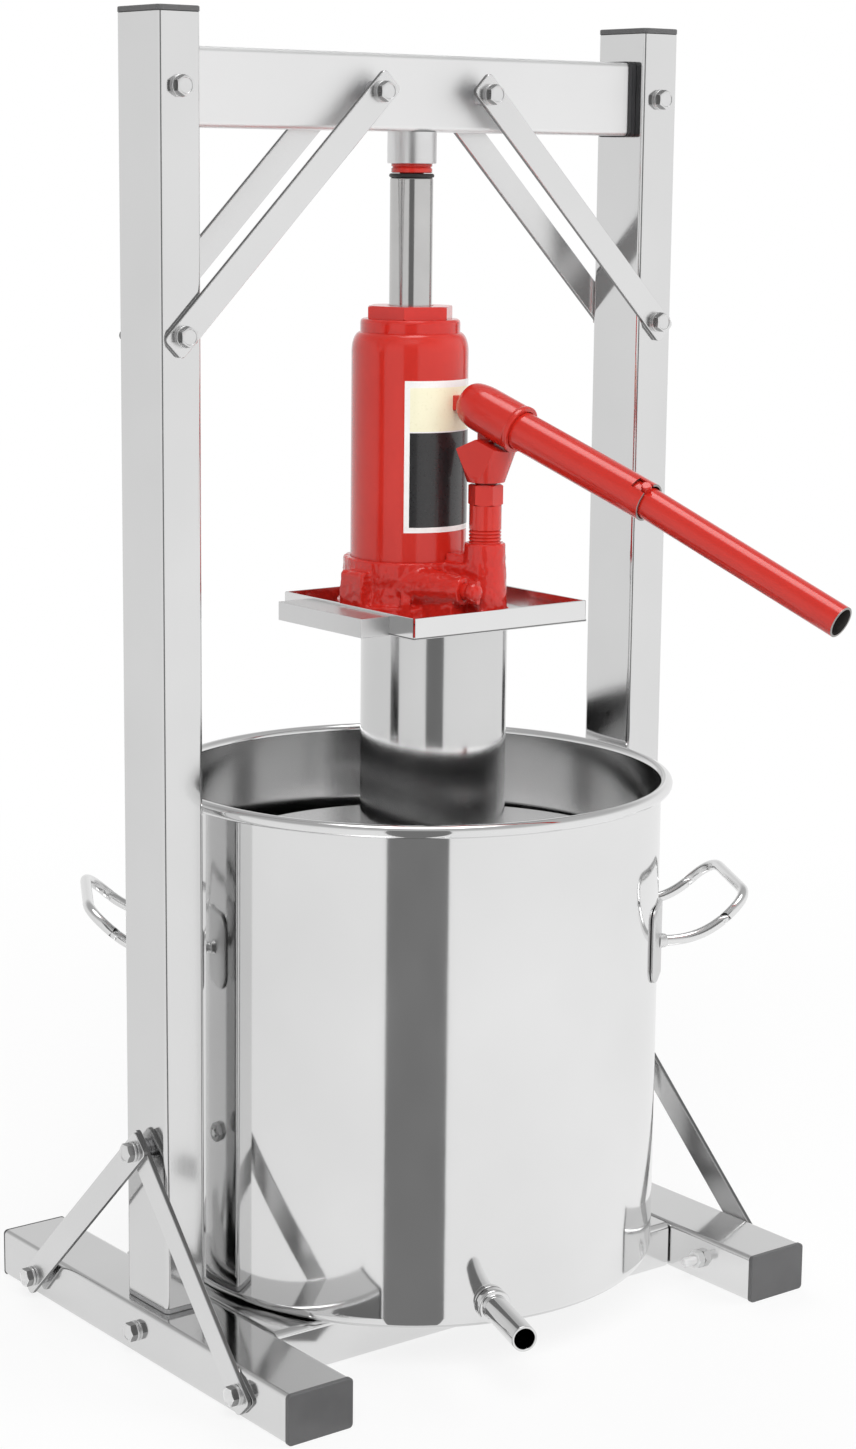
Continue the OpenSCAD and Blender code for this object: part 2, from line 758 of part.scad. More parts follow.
module jack_base() {
  passage_r = 2;
  valve_web = 0.8*valve_boss_r;
  color(jack_red) in_jack() difference() {
    union() {
      cylinder(h = base_flange_h, r = base_flange_r);
      translate([0, -nose_half, 0]) cube([nose_end, 2*nose_half, base_flange_h]);
      cylinder(h = jack_base_h + hub_collar, r = hub_r);
      translate([0, -nose_half, 0]) cube([nose_end - 3, 2*nose_half, jack_base_h + hub_collar]);
      translate([pump_r, 0, 0]) cylinder(h = boss_pump_h, r = boss_pump_r);
      for (a = [-rib_turn, rib_turn]) rotate(a)
        translate([0, -rib_t/2, 0]) cube([base_flange_r, rib_t, rib_h]);
      rotate(-lug_turn) translate([0, -lug_t/2, 0]) cube([lug_reach, lug_t, lug_h]);
      along_x([0, -valve_side, valve_h]) cylinder(h = valve_at, r = valve_boss_r);
      translate([0, -valve_side - valve_web, 0]) cube([valve_at - 4, valve_side, valve_h - 2]);
    }
    translate([0, 0, cyl_floor]) cylinder(h = cyl_seat + eps, r = cyl_r + ram_clear);
    translate([0, 0, body_low]) cylinder(h = boss_pump_h, r = body_r + hub_clear);
    translate([pump_r, 0, pump_floor]) cylinder(h = boss_pump_h, r = plunger_r + plunger_clear);
    translate([pump_r, 0, boss_pump_h/2]) cylinder(h = boss_pump_h, r = pump_tube_r + ram_clear);
    along_x([valve_at - valve_in, -valve_side, valve_h])
      cylinder(h = valve_in + eps, r = valve_r + valve_clear);
    // Oil passage from the pump to the cylinder, with a pocket for each check ball
    along_x([cyl_bore/2, 0, pump_floor + passage_r]) cylinder(h = pump_r - cyl_bore/2, r = passage_r);
    translate([cyl_bore/2, 0, pump_floor]) cylinder(h = cyl_floor, r = ball_r + ball_clear);
    translate([pump_r, 0, pump_floor - 2*ball_r]) cylinder(h = 2*ball_r + eps, r = ball_r + ball_clear);
  }
}

module check_balls() {
  color(bolt_steel) in_jack() for (p = [[cyl_bore/2, pump_floor], [pump_r, pump_floor - 2*ball_r]])
    translate([p[0], 0, p[1] + ball_r]) sphere(ball_r);
}

module reservoir_tube() {
  color(jack_red) in_jack() translate([0, 0, body_low]) difference() {
    cylinder(h = body_h, r = body_r);
    translate([0, 0, -eps]) cylinder(h = body_h + 2*eps, r = body_r - body_wall);
    // Threaded hole for the filler plug, near the top on the side away from the lever
    rotate(180) along_x([0, 0, body_h - nut_plug - 8]) cylinder(h = body_r + eps, r = 4);
  }
}

module filler_plug() {
  color(rubber) in_jack() translate([0, 0, body_low + body_h - nut_plug - 8]) rotate(180) difference() {
    along_x([body_r - body_wall, 0, 0]) union() {
      cylinder(h = body_wall + 1, r = 3.95);
      translate([0, 0, body_wall + 1]) cylinder(h = 2.5, r = 6);
    }
    cylinder(h = 20, r = body_r - body_wall, center = true);
  }
}

module pressure_cylinder() {
  color(steel) in_jack() translate([0, 0, cyl_floor]) difference() {
    cylinder(h = nut_low - nut_plug - cyl_floor, r = cyl_r);
    translate([0, 0, -eps]) cylinder(h = nut_low, r = cyl_bore);
  }
}

module top_nut() {
  color(jack_red) in_jack() translate([0, 0, nut_low]) difference() {
    union() {
      translate([0, 0, -nut_plug]) cylinder(h = nut_plug, r = body_r - body_wall - weld_gap);
      cylinder(h = nut_collar_h, r = nut_collar_r);
      translate([0, 0, nut_collar_h]) cylinder(h = nut_hex_h, d = nut_hex_af/cos(30), $fn = 6);
    }
    translate([0, 0, -nut_plug - eps])
      cylinder(h = nut_plug + nut_collar_h + nut_hex_h + 2*eps, r = ram_r + ram_clear);
  }
}

// Lug welded to the reservoir, on which the lever socket turns
module fulcrum_lug() {
  lug_r = 2*pin_r;
  color(jack_red) in_jack() difference() {
    translate([0, 0, fulcrum_h]) lever_plane(tang_t) difference() {
      union() {
        translate([fulcrum_r, 0]) circle(lug_r);
        translate([0, -lug_r]) square([fulcrum_r, 2*lug_r]);
      }
      translate([fulcrum_r, 0]) circle(pin_r + weld_gap);
    }
    translate([0, 0, fulcrum_h]) cylinder(h = 4*lug_r, r = body_r + weld_gap, center = true);
  }
}

module fulcrum_pin() {
  len = 2*socket_r - 9;
  color(bolt_steel) in_jack() along_y([fulcrum_r, -len/2, fulcrum_h]) cylinder(h = len, r = pin_r);
}

module pump_barrel() {
  bore = plunger_r + plunger_clear;
  low = boss_pump_h/2;
  hex_low = pump_tube_top - pump_hex_h;
  ring_pitch = 2.5;
  color(jack_red) in_jack() translate([pump_r, 0, 0]) difference() {
    union() {
      translate([0, 0, low]) cylinder(h = hex_low - low, r = pump_tube_r);
      intersection() {
        translate([0, 0, hex_low]) cylinder(h = pump_hex_h, r = pump_tube_r);
        translate([0, 0, hex_low]) rotate(30) cylinder(h = pump_hex_h, d = pump_hex_af/cos(30), $fn = 6);
      }
    }
    translate([0, 0, low - eps]) cylinder(h = pump_tube_top, r = bore);
    for (i = [0:2]) translate([0, 0, boss_pump_h + 2 + i*ring_pitch]) rotate_extrude()
      translate([pump_tube_r, 0]) circle(0.6);
  }
}

// Room above the lever socket's underside at both ends of its swing, seen from the plunger
module socket_room() {
  size = 4*socket_len;
  for (turn = [0, lever_swing]) {
    lift = pump_arm*(sin(turn - lever_swing/2) + sin(lever_swing/2));
    translate([fulcrum_r, 0, fulcrum_h - lift]) rotate([0, lever_tilt - turn, 0])
      translate([-size/2, -size/2, -socket_r - yoke_clear]) cube(size);
  }
}

module pump_plunger() {
  foot = pump_floor + 2;
  tang_low = yoke_low + yoke_h/2;
  color(jack_red) in_jack() {
    translate([pump_r, 0, foot]) cylinder(h = yoke_low - foot + 1, r = plunger_r);
    difference() {
      intersection() {
        translate([pump_r, 0, yoke_low]) cylinder(h = yoke_h, r1 = yoke_r1, r2 = yoke_r2);
        translate([0, -yoke_half, yoke_low]) cube([2*pump_r, 2*yoke_half, yoke_h]);
      }
      cylinder(h = fulcrum_h, r = body_r + yoke_clear);
      socket_room();
    }
    difference() {
      translate([pump_r, 0, pump_pin_h]) lever_plane(tang_t) {
        circle(tang_half);
        translate([-tang_half, tang_low - pump_pin_h]) square([2*tang_half, pump_pin_h - tang_low]);
      }
      along_y([pump_r, -tang_t, pump_pin_h]) cylinder(h = 2*tang_t, r = pin_r + weld_gap);
    }
  }
}

module plunger_pin() {
  len = 2*socket_r - 5;
  color(bolt_steel) in_jack() along_y([pump_r, -len/2, pump_pin_h]) cylinder(h = len, r = pin_r);
}

// Lever: its own frame has its origin at the fulcrum, +X along the lever at rest
module in_lever() {
  in_jack() translate([fulcrum_r, 0, fulcrum_h]) rotate([0, lever_tilt, 0]) children();
}

module lever_socket() {
  slot = tang_t + 2*tang_clear;
  slot_roof = 8.5;
  pin_run = pump_arm*cos(lever_swing/2 - lever_tilt);
  pin_off = pump_arm*sin(lever_tilt - lever_swing/2);
  color(jack_red) in_lever() difference() {
    along_x([-socket_back, 0, 0]) cylinder(h = socket_back + socket_len, r = socket_r);
    along_x([socket_bore_at, 0, 0]) cylinder(h = socket_len, r = lever_r + lever_clear);
    translate([-socket_r, -slot/2, -2*socket_r])
      cube([socket_r + socket_bore_at + 4, slot, 2*socket_r + slot_roof]);
    along_y([0, -2*socket_r, 0]) cylinder(h = 4*socket_r, r = pin_r + pin_clear);
    along_y([pin_run, -2*socket_r, pin_off]) cylinder(h = 4*socket_r, r = pin_r + 2*pump_slack);
  }
}

module lever_tube() {
  slot_w = 2*(catch_r + catch_clear);
  color(jack_red) in_lever() difference() {
    along_x([lever_start, 0, 0]) cylinder(h = lever_len, r = lever_r);
    along_x([lever_start - eps, 0, 0]) cylinder(h = lever_len + 2*eps, r = lever_r - lever_wall);
    translate([lever_end - catch_slot, -slot_w/2, 0]) cube([ext_in, slot_w, 2*lever_r]);
  }
}

// Extension: pushed loosely into the lever tube, so it droops about the middle of its fit
module in_extension() {
  in_lever() translate([lever_end - ext_in/2, 0, 0]) rotate([0, ext_droop, 0]) children();
}

module lever_extension() {
  color(jack_red) in_extension() difference() {
    along_x([-ext_in/2, 0, 0]) cylinder(h = ext_len, r = ext_r);
    along_x([-ext_in/2 - eps, 0, 0]) cylinder(h = ext_len + 2*eps, r = ext_r - lever_wall);
    translate([ext_in/2 - catch_in, 0, 0]) cylinder(h = 2*ext_r, r = catch_r + weld_gap);
  }
}

module catch_pin() {
  color(jack_red) in_extension() translate([ext_in/2 - catch_in, 0, ext_r - lever_wall])
    cylinder(h = lever_wall + catch_h, r = catch_r);
}

module release_valve() {
  color(jack_red) in_jack() translate([valve_at, -valve_side, valve_h]) rotate([0, 90, 0]) {
    translate([0, 0, 1 - valve_in]) cylinder(h = valve_in - 1 + valve_head, r = valve_r);
    difference() {
      translate([-wing_half, -wing_t/2, 2]) cube([2*wing_half, wing_t, valve_head - 2]);
      translate([0, 0, 1]) cylinder(h = valve_head, r = valve_r - 1);
    }
  }
}

module jack_tray() {
  inner = tray_side - 2*tray_t;
  color(steel) translate([tray_pos[0], tray_pos[1], tray_z]) difference() {
    translate([-tray_side/2, -tray_side/2, 0]) cube([tray_side, tray_side, tray_h]);
    translate([-inner/2, -inner/2, tray_t]) cube([inner, inner, tray_h]);
    for (a = [45, 135, 225, 315]) rotate(a)
      translate([inner/2, -tray_slit/2, tray_t]) cube([tray_side, tray_slit, tray_h]);
  }
}

// Sheet folded to a small hood, open underneath and welded to the tray's left side
module tray_grip() {
  color(steel) translate([tray_pos[0] - tray_side/2 - grip_out, tray_pos[1] - grip_len/2, tray_z])
    difference() {
      cube([grip_out, grip_len, grip_h]);
      translate([grip_t, grip_t, -eps]) cube([grip_out, grip_len - 2*grip_t, grip_h - grip_t + eps]);
    }
}

module press_column() {
  color(steel) translate([tray_pos[0], tray_pos[1], plate_top]) difference() {
    cylinder(h = column_h, r = column_r);
    translate([0, 0, -eps]) cylinder(h = column_h + 2*eps, r = column_r - column_wall);
  }
}

module press_plate() {
  color(steel)
    translate([tray_pos[0], tray_pos[1], plate_top - plate_t])
      cylinder(h = plate_t, r = plate_r);
}

// Barrel

module in_barrel() { translate(barrel_pos) children(); }

// Half section of a pan with a round bottom corner
module pan_section(r, h, corner) {
  square([r - corner, h]);
  translate([0, corner]) square([r, h - corner]);
  intersection() {
    translate([r - corner, corner]) circle(corner);
    square([r, h]);
  }
}

module barrel() {
  color(steel) in_barrel() difference() {
    rotate_extrude() {
      difference() {
        pan_section(barrel_r, barrel_h - bead_r, barrel_fillet);
        translate([0, barrel_floor]) pan_section(barrel_in, barrel_h, barrel_fillet - barrel_wall);
      }
      translate([barrel_in + bead_r, barrel_h - bead_r]) circle(bead_r);
    }
    rotate(-spout_turn) along_x([barrel_r/2, 0, spout_up]) cylinder(h = barrel_r, r = spout_r + weld_gap);
  }
}

module spout() {
  color(steel) in_barrel() rotate(-spout_turn) difference() {
    union() {
      along_x([barrel_in, 0, spout_up]) cylinder(h = spout_len + barrel_wall, r = spout_r);
      difference() {
        along_x([barrel_in, 0, spout_up]) cylinder(h = collar_len + barrel_wall, r = collar_r);
        cylinder(h = 4*spout_up, r = barrel_r + weld_gap);
      }
    }
    along_x([barrel_r/2, 0, spout_up]) cylinder(h = barrel_r + spout_len, r = spout_bore);
  }
}

// Points of a bend that replaces the corner at b, between a and c
function bend(a, b, c, cut, n) =
  let (p = b + cut*(a - b)/norm(a - b), q = b + cut*(c - b)/norm(c - b))
  [for (i = [0:n]) let (t = i/n) (1 - t)*(1 - t)*p + 2*t*(1 - t)*b + t*t*q];

// Route of one handle's wire from bracket to bracket, in the handle's own frame
function handle_route() =
  let (root = handle_chord + bracket_t + 2, flat = barrel_r + handle_flat,
       a = [root, -handle_half, 0], b = [flat, -handle_half, 0],
       c = [handle_mid, -handle_half, handle_rise], d = [handle_mid, handle_half, handle_rise],
       e = [flat, handle_half, 0], f = [root, handle_half, 0], steps = 6)
  concat([a], bend(a, b, c, wire_bend*0.6, steps), bend(b, c, d, wire_bend, steps),
         bend(c, d, e, wire_bend, steps), bend(d, e, f, wire_bend*0.6, steps), [f]);

// Round wire along a route whose rings lean on one fixed direction that the route never follows
module wire(route, r, lean, sides) {
  last = len(route) - 1;
  function heading(i) =
    let (d = route[min(i + 1, last)] - route[max(i - 1, 0)]) d/norm(d);
  points = [for (i = [0:last])
    let (t = heading(i), raw = lean - (lean*t)*t, u = raw/norm(raw), v = cross(t, u))
    for (k = [0:sides - 1]) route[i] + r*(cos(360*k/sides)*u + sin(360*k/sides)*v)];
  skin = [for (i = [0:last - 1], k = [0:sides - 1])
    let (a = i*sides + k, b = i*sides + (k + 1)%sides)
    each [[a, a + sides, b], [b, a + sides, b + sides]]];
  lids = [[for (k = [0:sides - 1]) k], [for (k = [sides - 1:-1:0]) last*sides + k]];
  polyhedron(points, concat(skin, lids));
}

module handle() {
  color(steel) wire(handle_route(), wire_r, [-sqrt(0.5), 0, sqrt(0.5)], 16);
}

// Places children in the handle's own frame: +X out of the barrel, legs level
module at_handle(turn) { in_barrel() rotate(turn) translate([0, 0, handle_z - foot_h]) children(); }

module right_handle() { at_handle(-handle_turn) handle(); }
module left_handle() { at_handle(180 - handle_turn) handle(); }

// Curved plates welded to the barrel behind each handle leg
module handle_brackets() {
  outer = barrel_r + weld_gap + bracket_t;
  color(steel) for (turn = [-handle_turn, 180 - handle_turn], s = [-1, 1])
    at_handle(turn) rotate(s*asin(handle_half/barrel_r)) intersection() {
      difference() {
        cylinder(h = 2*bracket_h, r = outer, center = true);
        cylinder(h = 2*bracket_h + eps, r = barrel_r + weld_gap, center = true);
      }
      along_x([barrel_r/2, 0, 0]) linear_extrude(barrel_r) round_rect(bracket_h, bracket_w, bracket_w/4);
    }
}

// Short tubes welded to the brackets, which hold the ends of the handle wire
module handle_bosses() {
  outer = barrel_r + 2*weld_gap + bracket_t;
  color(plastic) for (turn = [-handle_turn, 180 - handle_turn], s = [-1, 1])
    at_handle(turn) difference() {
      along_x([handle_chord - boss_len, s*handle_half, 0]) cylinder(h = 2*boss_len, r = boss_r);
      along_x([0, s*handle_half, 0]) cylinder(h = 2*barrel_r, r = wire_r + 2*weld_gap);
      cylinder(h = 4*boss_r, r = outer, center = true);
    }
}

left_foot();
right_foot();
foot_end_caps();
base_box();
base_end_plates();
left_upright();
right_upright();
upright_end_caps();
crossbeam();
beam_end_caps();
beam_splice_bars();
foot_splice_bars();
front_upper_braces();
rear_upper_braces();
left_front_lower_brace();
left_rear_lower_brace();
right_front_lower_brace();
right_rear_lower_brace();
beam_brace_sleeves();
lower_brace_sleeves();
upper_brace_bolts();
beam_joint_bolts();
lower_brace_bolts();
foot_brace_bolts();
base_bolts();
hex_nuts();
flat_washers();
thrust_cup();
ram_screw();
ram();
ram_ring();
ram_piston();
piston_seal();
jack_base();
reservoir_tube();
pressure_cylinder();
top_nut();
filler_plug();
fulcrum_lug();
fulcrum_pin();
pump_barrel();
check_balls();
pump_plunger();
plunger_pin();
lever_socket();
lever_tube();
lever_extension();
catch_pin();
release_valve();
jack_tray();
tray_grip();
press_column();
press_plate();
barrel();
left_handle();
right_handle();
handle_brackets();
handle_bosses();
spout();
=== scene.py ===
import json
import math
import bmesh
import bpy
from mathutils import Matrix, Vector

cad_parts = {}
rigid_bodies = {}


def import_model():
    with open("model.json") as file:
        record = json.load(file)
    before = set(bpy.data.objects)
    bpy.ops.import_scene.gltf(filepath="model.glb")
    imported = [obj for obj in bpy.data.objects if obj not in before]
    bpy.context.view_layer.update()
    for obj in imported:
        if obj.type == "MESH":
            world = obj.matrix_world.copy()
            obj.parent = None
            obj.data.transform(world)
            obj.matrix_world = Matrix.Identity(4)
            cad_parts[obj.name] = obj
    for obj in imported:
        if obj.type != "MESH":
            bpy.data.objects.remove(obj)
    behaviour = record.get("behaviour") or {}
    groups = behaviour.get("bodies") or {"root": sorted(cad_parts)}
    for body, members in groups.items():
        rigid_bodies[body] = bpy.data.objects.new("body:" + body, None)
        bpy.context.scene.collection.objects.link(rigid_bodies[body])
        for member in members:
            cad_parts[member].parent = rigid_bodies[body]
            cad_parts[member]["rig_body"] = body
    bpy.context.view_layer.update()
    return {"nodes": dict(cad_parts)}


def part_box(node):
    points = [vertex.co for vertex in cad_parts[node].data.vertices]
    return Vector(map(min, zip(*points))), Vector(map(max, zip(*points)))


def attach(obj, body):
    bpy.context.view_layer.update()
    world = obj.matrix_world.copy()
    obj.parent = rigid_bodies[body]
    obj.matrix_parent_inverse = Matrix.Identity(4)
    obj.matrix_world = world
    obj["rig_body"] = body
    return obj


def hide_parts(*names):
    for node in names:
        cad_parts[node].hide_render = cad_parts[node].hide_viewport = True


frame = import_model()

# Feet: two flat stainless tubes on the floor that carry the frame. They are rolled from sheet,
# welded along a seam and polished to a mirror, so their long edges are slightly round.


class Shade:
    """A value in a material: arithmetic adds Math nodes, node() adds any other kind."""

    def __init__(self, tree, socket=None):
        self.tree = tree
        self.socket = socket

    def feed(self, made, inputs):
        for key, value in inputs.items():
            if isinstance(value, Shade):
                self.tree.links.new(value.socket, made.inputs[key])
            else:
                made.inputs[key].default_value = value

    def node(self, kind, settings=None, inputs=None, output=0):
        made = self.tree.nodes.new(kind)
        for key, value in (settings or {}).items():
            setattr(made, key, value)
        self.feed(made, inputs or {})
        return Shade(self.tree, made.outputs[output])

    def other(self, output):
        """Another output of the node that this value comes from."""
        return Shade(self.tree, self.socket.node.outputs[output])

    def math(self, operation, *values):
        return self.node("ShaderNodeMath", {"operation": operation}, dict(enumerate(values)))

    def noise(self, where, scale, detail=2.0):
        """Noise of a scale, or of one scale for each axis."""
        if isinstance(scale, tuple):
            where = self.node("ShaderNodeMapping", None, {"Vector": where, "Scale": scale})
            scale = 1.0
        return self.node("ShaderNodeTexNoise", None, {"Vector": where, "Scale": scale, "Detail": detail})

    def mix(self, share, first, second):
        return self.node("ShaderNodeMix", {"data_type": "RGBA"}, {0: share, 6: first, 7: second}, 2)

    def bump(self, height):
        return self.node("ShaderNodeBump", None, {"Strength": 1.0, "Distance": 1.0, "Height": height})

    def __add__(self, other):
        return self.math("ADD", self, other)

    __radd__ = __add__

    def __mul__(self, other):
        return self.math("MULTIPLY", self, other)

    __rmul__ = __mul__

    def __sub__(self, other):
        return self.math("SUBTRACT", self, other)

    def __rsub__(self, other):
        return self.math("SUBTRACT", other, self)

    def __gt__(self, other):
        return self.math("GREATER_THAN", self, other)

    def __lt__(self, other):
        return self.math("LESS_THAN", self, other)


def new_finish(name):
    material = bpy.data.materials.new(name)
    material.use_nodes = True
    shade = Shade(material.node_tree)
    where = shade.node("ShaderNodeTexCoord", output="Object")
    return material, shade, where, material.node_tree.nodes["Principled BSDF"]


def grey(level):
    return (level, level, level, 1)


def polished(name, grain, rough=0.07, ripple=0.00003, tone=0.80):
    """Polished stainless: grain stretches its marks, rough dulls it, ripple is its waviness."""
    material, shade, where, surface = new_finish(name)
    haze = shade.noise(where, 9.0, 3.0)
    marks = shade.noise(where, grain)
    waves = shade.noise(where, 18.0, 1.0)
    shade.feed(surface, {
        "Metallic": 1.0,
        "Base Color": shade.mix(haze, grey(tone - 0.06), grey(tone + 0.06)),
        "Roughness": haze * 0.08 + marks * 0.03 + (rough - 0.05),
        "Normal": shade.bump(waves * ripple + marks * 0.000001),
    })
    return material


def skin(rings, loop=False, caps=False):
    """Faces between rings of equally many points; loop joins the last ring to the first."""
    count = len(rings[0])
    points = [tuple(p) for ring in rings for p in ring]
    faces = []
    for i in range(len(rings) if loop else len(rings) - 1):
        a = i * count
        b = (i + 1) % len(rings) * count
        for k in range(count):
            j = (k + 1) % count
            faces.append((a + k, a + j, b + j, b + k))
    if caps:
        faces.append(tuple(reversed(range(count))))
        faces.append(tuple(range(len(points) - count, len(points))))
    return points, faces


def arc(x, y, wide, high, start, end, steps):
    """Points on an ellipse about (x, y) with half axes wide and high, between two angles."""
    angles = [math.radians(start + (end - start) * k / steps) for k in range(steps + 1)]
    return [(x + wide * math.cos(a), y + high * math.sin(a)) for a in angles]


def round_rect(width, depth, corner, steps=6):
    ring = []
    for sx, sy, start in ((1, 1, 0), (-1, 1, 90), (-1, -1, 180), (1, -1, 270)):
        x = sx * (width / 2 - corner)
        y = sy * (depth / 2 - corner)
        ring += arc(x, y, corner, corner, start, start + 90, steps)
    return ring


def lifted(ring, z):
    return [(x, y, z) for x, y in ring]


def drawn_in(width, depth, corner, steps):
    """Rings of a rounded rectangle for steps of (inset all round, height)."""
    return [lifted(round_rect(width - 2 * i, depth - 2 * i, corner - i), z) for i, z in steps]


def rect_tube(width, depth, length, wall, corner, ease=0.4):
    """Hollow tube along Z from 0 to length, its cut ends eased."""
    outside = [(ease, 0), (0, ease), (0, length - ease), (ease, length)]
    return skin(drawn_in(width, depth, corner, outside + [(wall, length), (wall, 0)]), loop=True)


def placed(shape, matrix):
    return [tuple(matrix @ Vector(p)) for p in shape[0]], shape[1]


def joined(*shapes):
    points = []
    faces = []
    for more, sides in shapes:
        faces += [tuple(i + len(points) for i in side) for side in sides]
        points += more
    return points, faces


def shift(x, y, z):
    return Matrix.Translation((x, y, z))


def spin(degrees, axis):
    return Matrix.Rotation(math.radians(degrees), 4, axis)


ALONG_X = spin(90, "Y")
ALONG_Y = spin(-90, "X")


def added(name, data):
    obj = bpy.data.objects.new(name, data)
    bpy.context.scene.collection.objects.link(obj)
    return obj


def meshed(name, shape, edges=()):
    """A new object in the scene from points in mm and faces."""
    mesh = bpy.data.meshes.new(name)
    mesh.from_pydata([Vector(p) / 1000 for p in shape[0]], edges, shape[1])
    return added(name, mesh)


def piece(name, shape, material, slot, *nodes, body=None, sharp=32):
    """A finished object; it stands for the CAD nodes and rides their body."""
    obj = meshed(name, shape)
    mesh = obj.data
    merged = bmesh.new()
    merged.from_mesh(mesh)
    bmesh.ops.remove_doubles(merged, verts=merged.verts, dist=1e-6)
    merged.to_mesh(mesh)
    merged.free()
    mesh.materials.append(material)
    mesh.shade_smooth()
    mesh.set_sharp_from_angle(angle=math.radians(sharp))
    flats = obj.modifiers.new("true flats", "WEIGHTED_NORMAL")
    flats.keep_sharp = True
    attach(obj, body or frame["nodes"][nodes[0]]["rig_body"])
    if nodes:
        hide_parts(*nodes)
    return obj


stainless = "polished_stainless"


def frame_tube(node, along, finish, wall=1.5, corner=3, gap=0):
    """A CAD node's box as a tube along an axis, gap short at each end; gives size and middle."""
    low, high = (1000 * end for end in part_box(node))
    size = high - low
    middle = (low + high) / 2
    sides, turn = {"X": ("zyx", ALONG_X), "Y": ("xzy", ALONG_Y), "Z": ("xyz", shift(0, 0, 0))}[along]
    width, depth, length = (getattr(size, side) for side in sides)
    length -= 2 * gap
    there = shift(*middle) @ turn @ shift(0, 0, -length / 2)
    tube = rect_tube(width, depth, length, wall, corner)
    piece(node + "_tube", placed(tube, there), finish, stainless, node)
    return size, middle


steel_y = polished("stainless polished lengthwise", (900, 6, 900), 0.11, tone=0.76)
for node in ("left_foot", "right_foot"):
    foot, middle = frame_tube(node, "Y", steel_y)
foot_x = middle.x
foot_z = middle.z

# Foot end caps: moulded grey plastic plugs pressed into both ends of each foot. Their flange
# covers the tube's edge with a soft rounded rim.


def plastic(name, colour, lighter):
    """Moulded plastic with a fine grain and worn, slightly glossier patches."""
    material, shade, where, surface = new_finish(name)
    grain = shade.noise(where, 1400.0, 2.0)
    wear = shade.noise(where, 60.0, 3.0)
    shade.feed(surface, {
        "Base Color": shade.mix(wear, colour, lighter),
        "Roughness": wear * 0.18 + 0.34,
        "Normal": shade.bump(grain * 0.00004),
    })
    return material


def plug_cap(width, depth, corner, flange, rim=0.8, over=0.4, plug=14):
    """Cap along Z: its plug hangs below 0 and its rounded flange stands above."""
    wide = width + over
    deep = depth + over
    rings = []
    for inset, z in ((3.2, -plug), (2.0, -plug + 2), (2.0, 0)):
        rings.append(lifted(round_rect(width - 2 * inset, depth - 2 * inset, 1.5), z))
    rings.append(lifted(round_rect(wide, deep, corner), 0.05))
    for x, z in arc(0, flange - rim, rim, rim, 0, 90, 5):
        inset = rim - x
        ring = round_rect(wide - 2 * inset, deep - 2 * inset, max(corner - inset, 0.6))
        rings.append(lifted(ring, z))
    return skin(rings, caps=True)


cap_grey = plastic("grey plastic", (0.092, 0.092, 0.094, 1), (0.128, 0.128, 0.130, 1))
cap_flange = 3
rear_flange = 1.2
caps = []
for x in (-foot_x, foot_x):
    for side, flange in ((-1, cap_flange), (1, rear_flange)):
        there = shift(x, foot.y / 2 * side, foot_z) @ spin(-90 * side, "X")
        caps.append(placed(plug_cap(foot.x, foot.z, 2.6, flange), there))
piece("foot_cap_plugs", joined(*caps), cap_grey, "grey_plastic", "foot_end_caps")

# Base box: the wide stainless tube between the feet on which the barrel stands. A flat plate is
# welded into each end and takes the bolts that come through the feet.


def softened(node, ease, lowest=20):
    """The CAD node's own shape in mm, its flat faces whole again and its edges eased."""
    shape = bmesh.new()
    shape.from_mesh(frame["nodes"][node].data)
    bmesh.ops.scale(shape, vec=(1000, 1000, 1000), verts=shape.verts)
    bmesh.ops.remove_doubles(shape, verts=shape.verts, dist=0.002)
    flat = math.radians(1)
    bmesh.ops.dissolve_limit(shape, angle_limit=flat, verts=shape.verts, edges=shape.edges)
    bent_by = math.radians(lowest)
    edges = [e for e in shape.edges if len(e.link_faces) == 2 and e.calc_face_angle(0) > bent_by]
    bmesh.ops.bevel(
        shape, geom=edges, offset=ease, offset_type="OFFSET", segments=2, profile=0.5,
        affect="EDGES", clamp_overlap=True,
    )
    bmesh.ops.triangulate(shape, faces=[f for f in shape.faces if len(f.verts) > 4])
    points = [tuple(v.co) for v in shape.verts]
    shape.verts.index_update()
    faces = [tuple(v.index for v in f.verts) for f in shape.faces]
    shape.free()
    return points, faces


steel_x = polished("stainless polished crosswise", (6, 900, 900), 0.11)
frame_tube("base_box", "X", steel_x, wall=2, corner=4, gap=1)
plates = softened("base_end_plates", 0.5)
piece("base_box_plates", plates, steel_y, stainless, "base_end_plates")

# Uprights: two stainless tubes that stand on the feet and take the whole pressing force. They
# are cut from the same polished stock as the crossbeam.
steel_z = polished("stainless polished upright", (900, 900, 6), 0.11, tone=0.74)
for node in ("left_upright", "right_upright"):
    upright, middle = frame_tube(node, "Z", steel_z)
upright_x = middle.x
upright_z = middle.z

# Upright end caps: the same pressed-in grey plastic plugs, at the top of each upright and under
# its foot end, where they are paler.


def second_finish(obj, finish, belongs):
    """The faces for which belongs(face) holds get another finish."""
    obj.data.materials.append(finish)
    for face in obj.data.polygons:
        face.material_index = int(belongs(face))


caps = []
for x in (-upright_x, upright_x):
    top_cap = plug_cap(upright.x, upright.y, 3.2, cap_flange)
    caps.append(placed(top_cap, shift(x, 0, upright_z + upright.z / 2)))
    low_cap = plug_cap(upright.x, upright.y, 3.0, cap_flange, over=0)
    caps.append(placed(low_cap, shift(x, 0, upright_z - upright.z / 2) @ spin(180, "X")))
obj = piece("upright_cap_plugs", joined(*caps), cap_grey, "grey_plastic", "upright_end_caps")
cap_pale = plastic("pale plastic", (0.34, 0.34, 0.345, 1), (0.44, 0.44, 0.445, 1))
second_finish(obj, cap_pale, lambda face: face.center.z < 0.1)

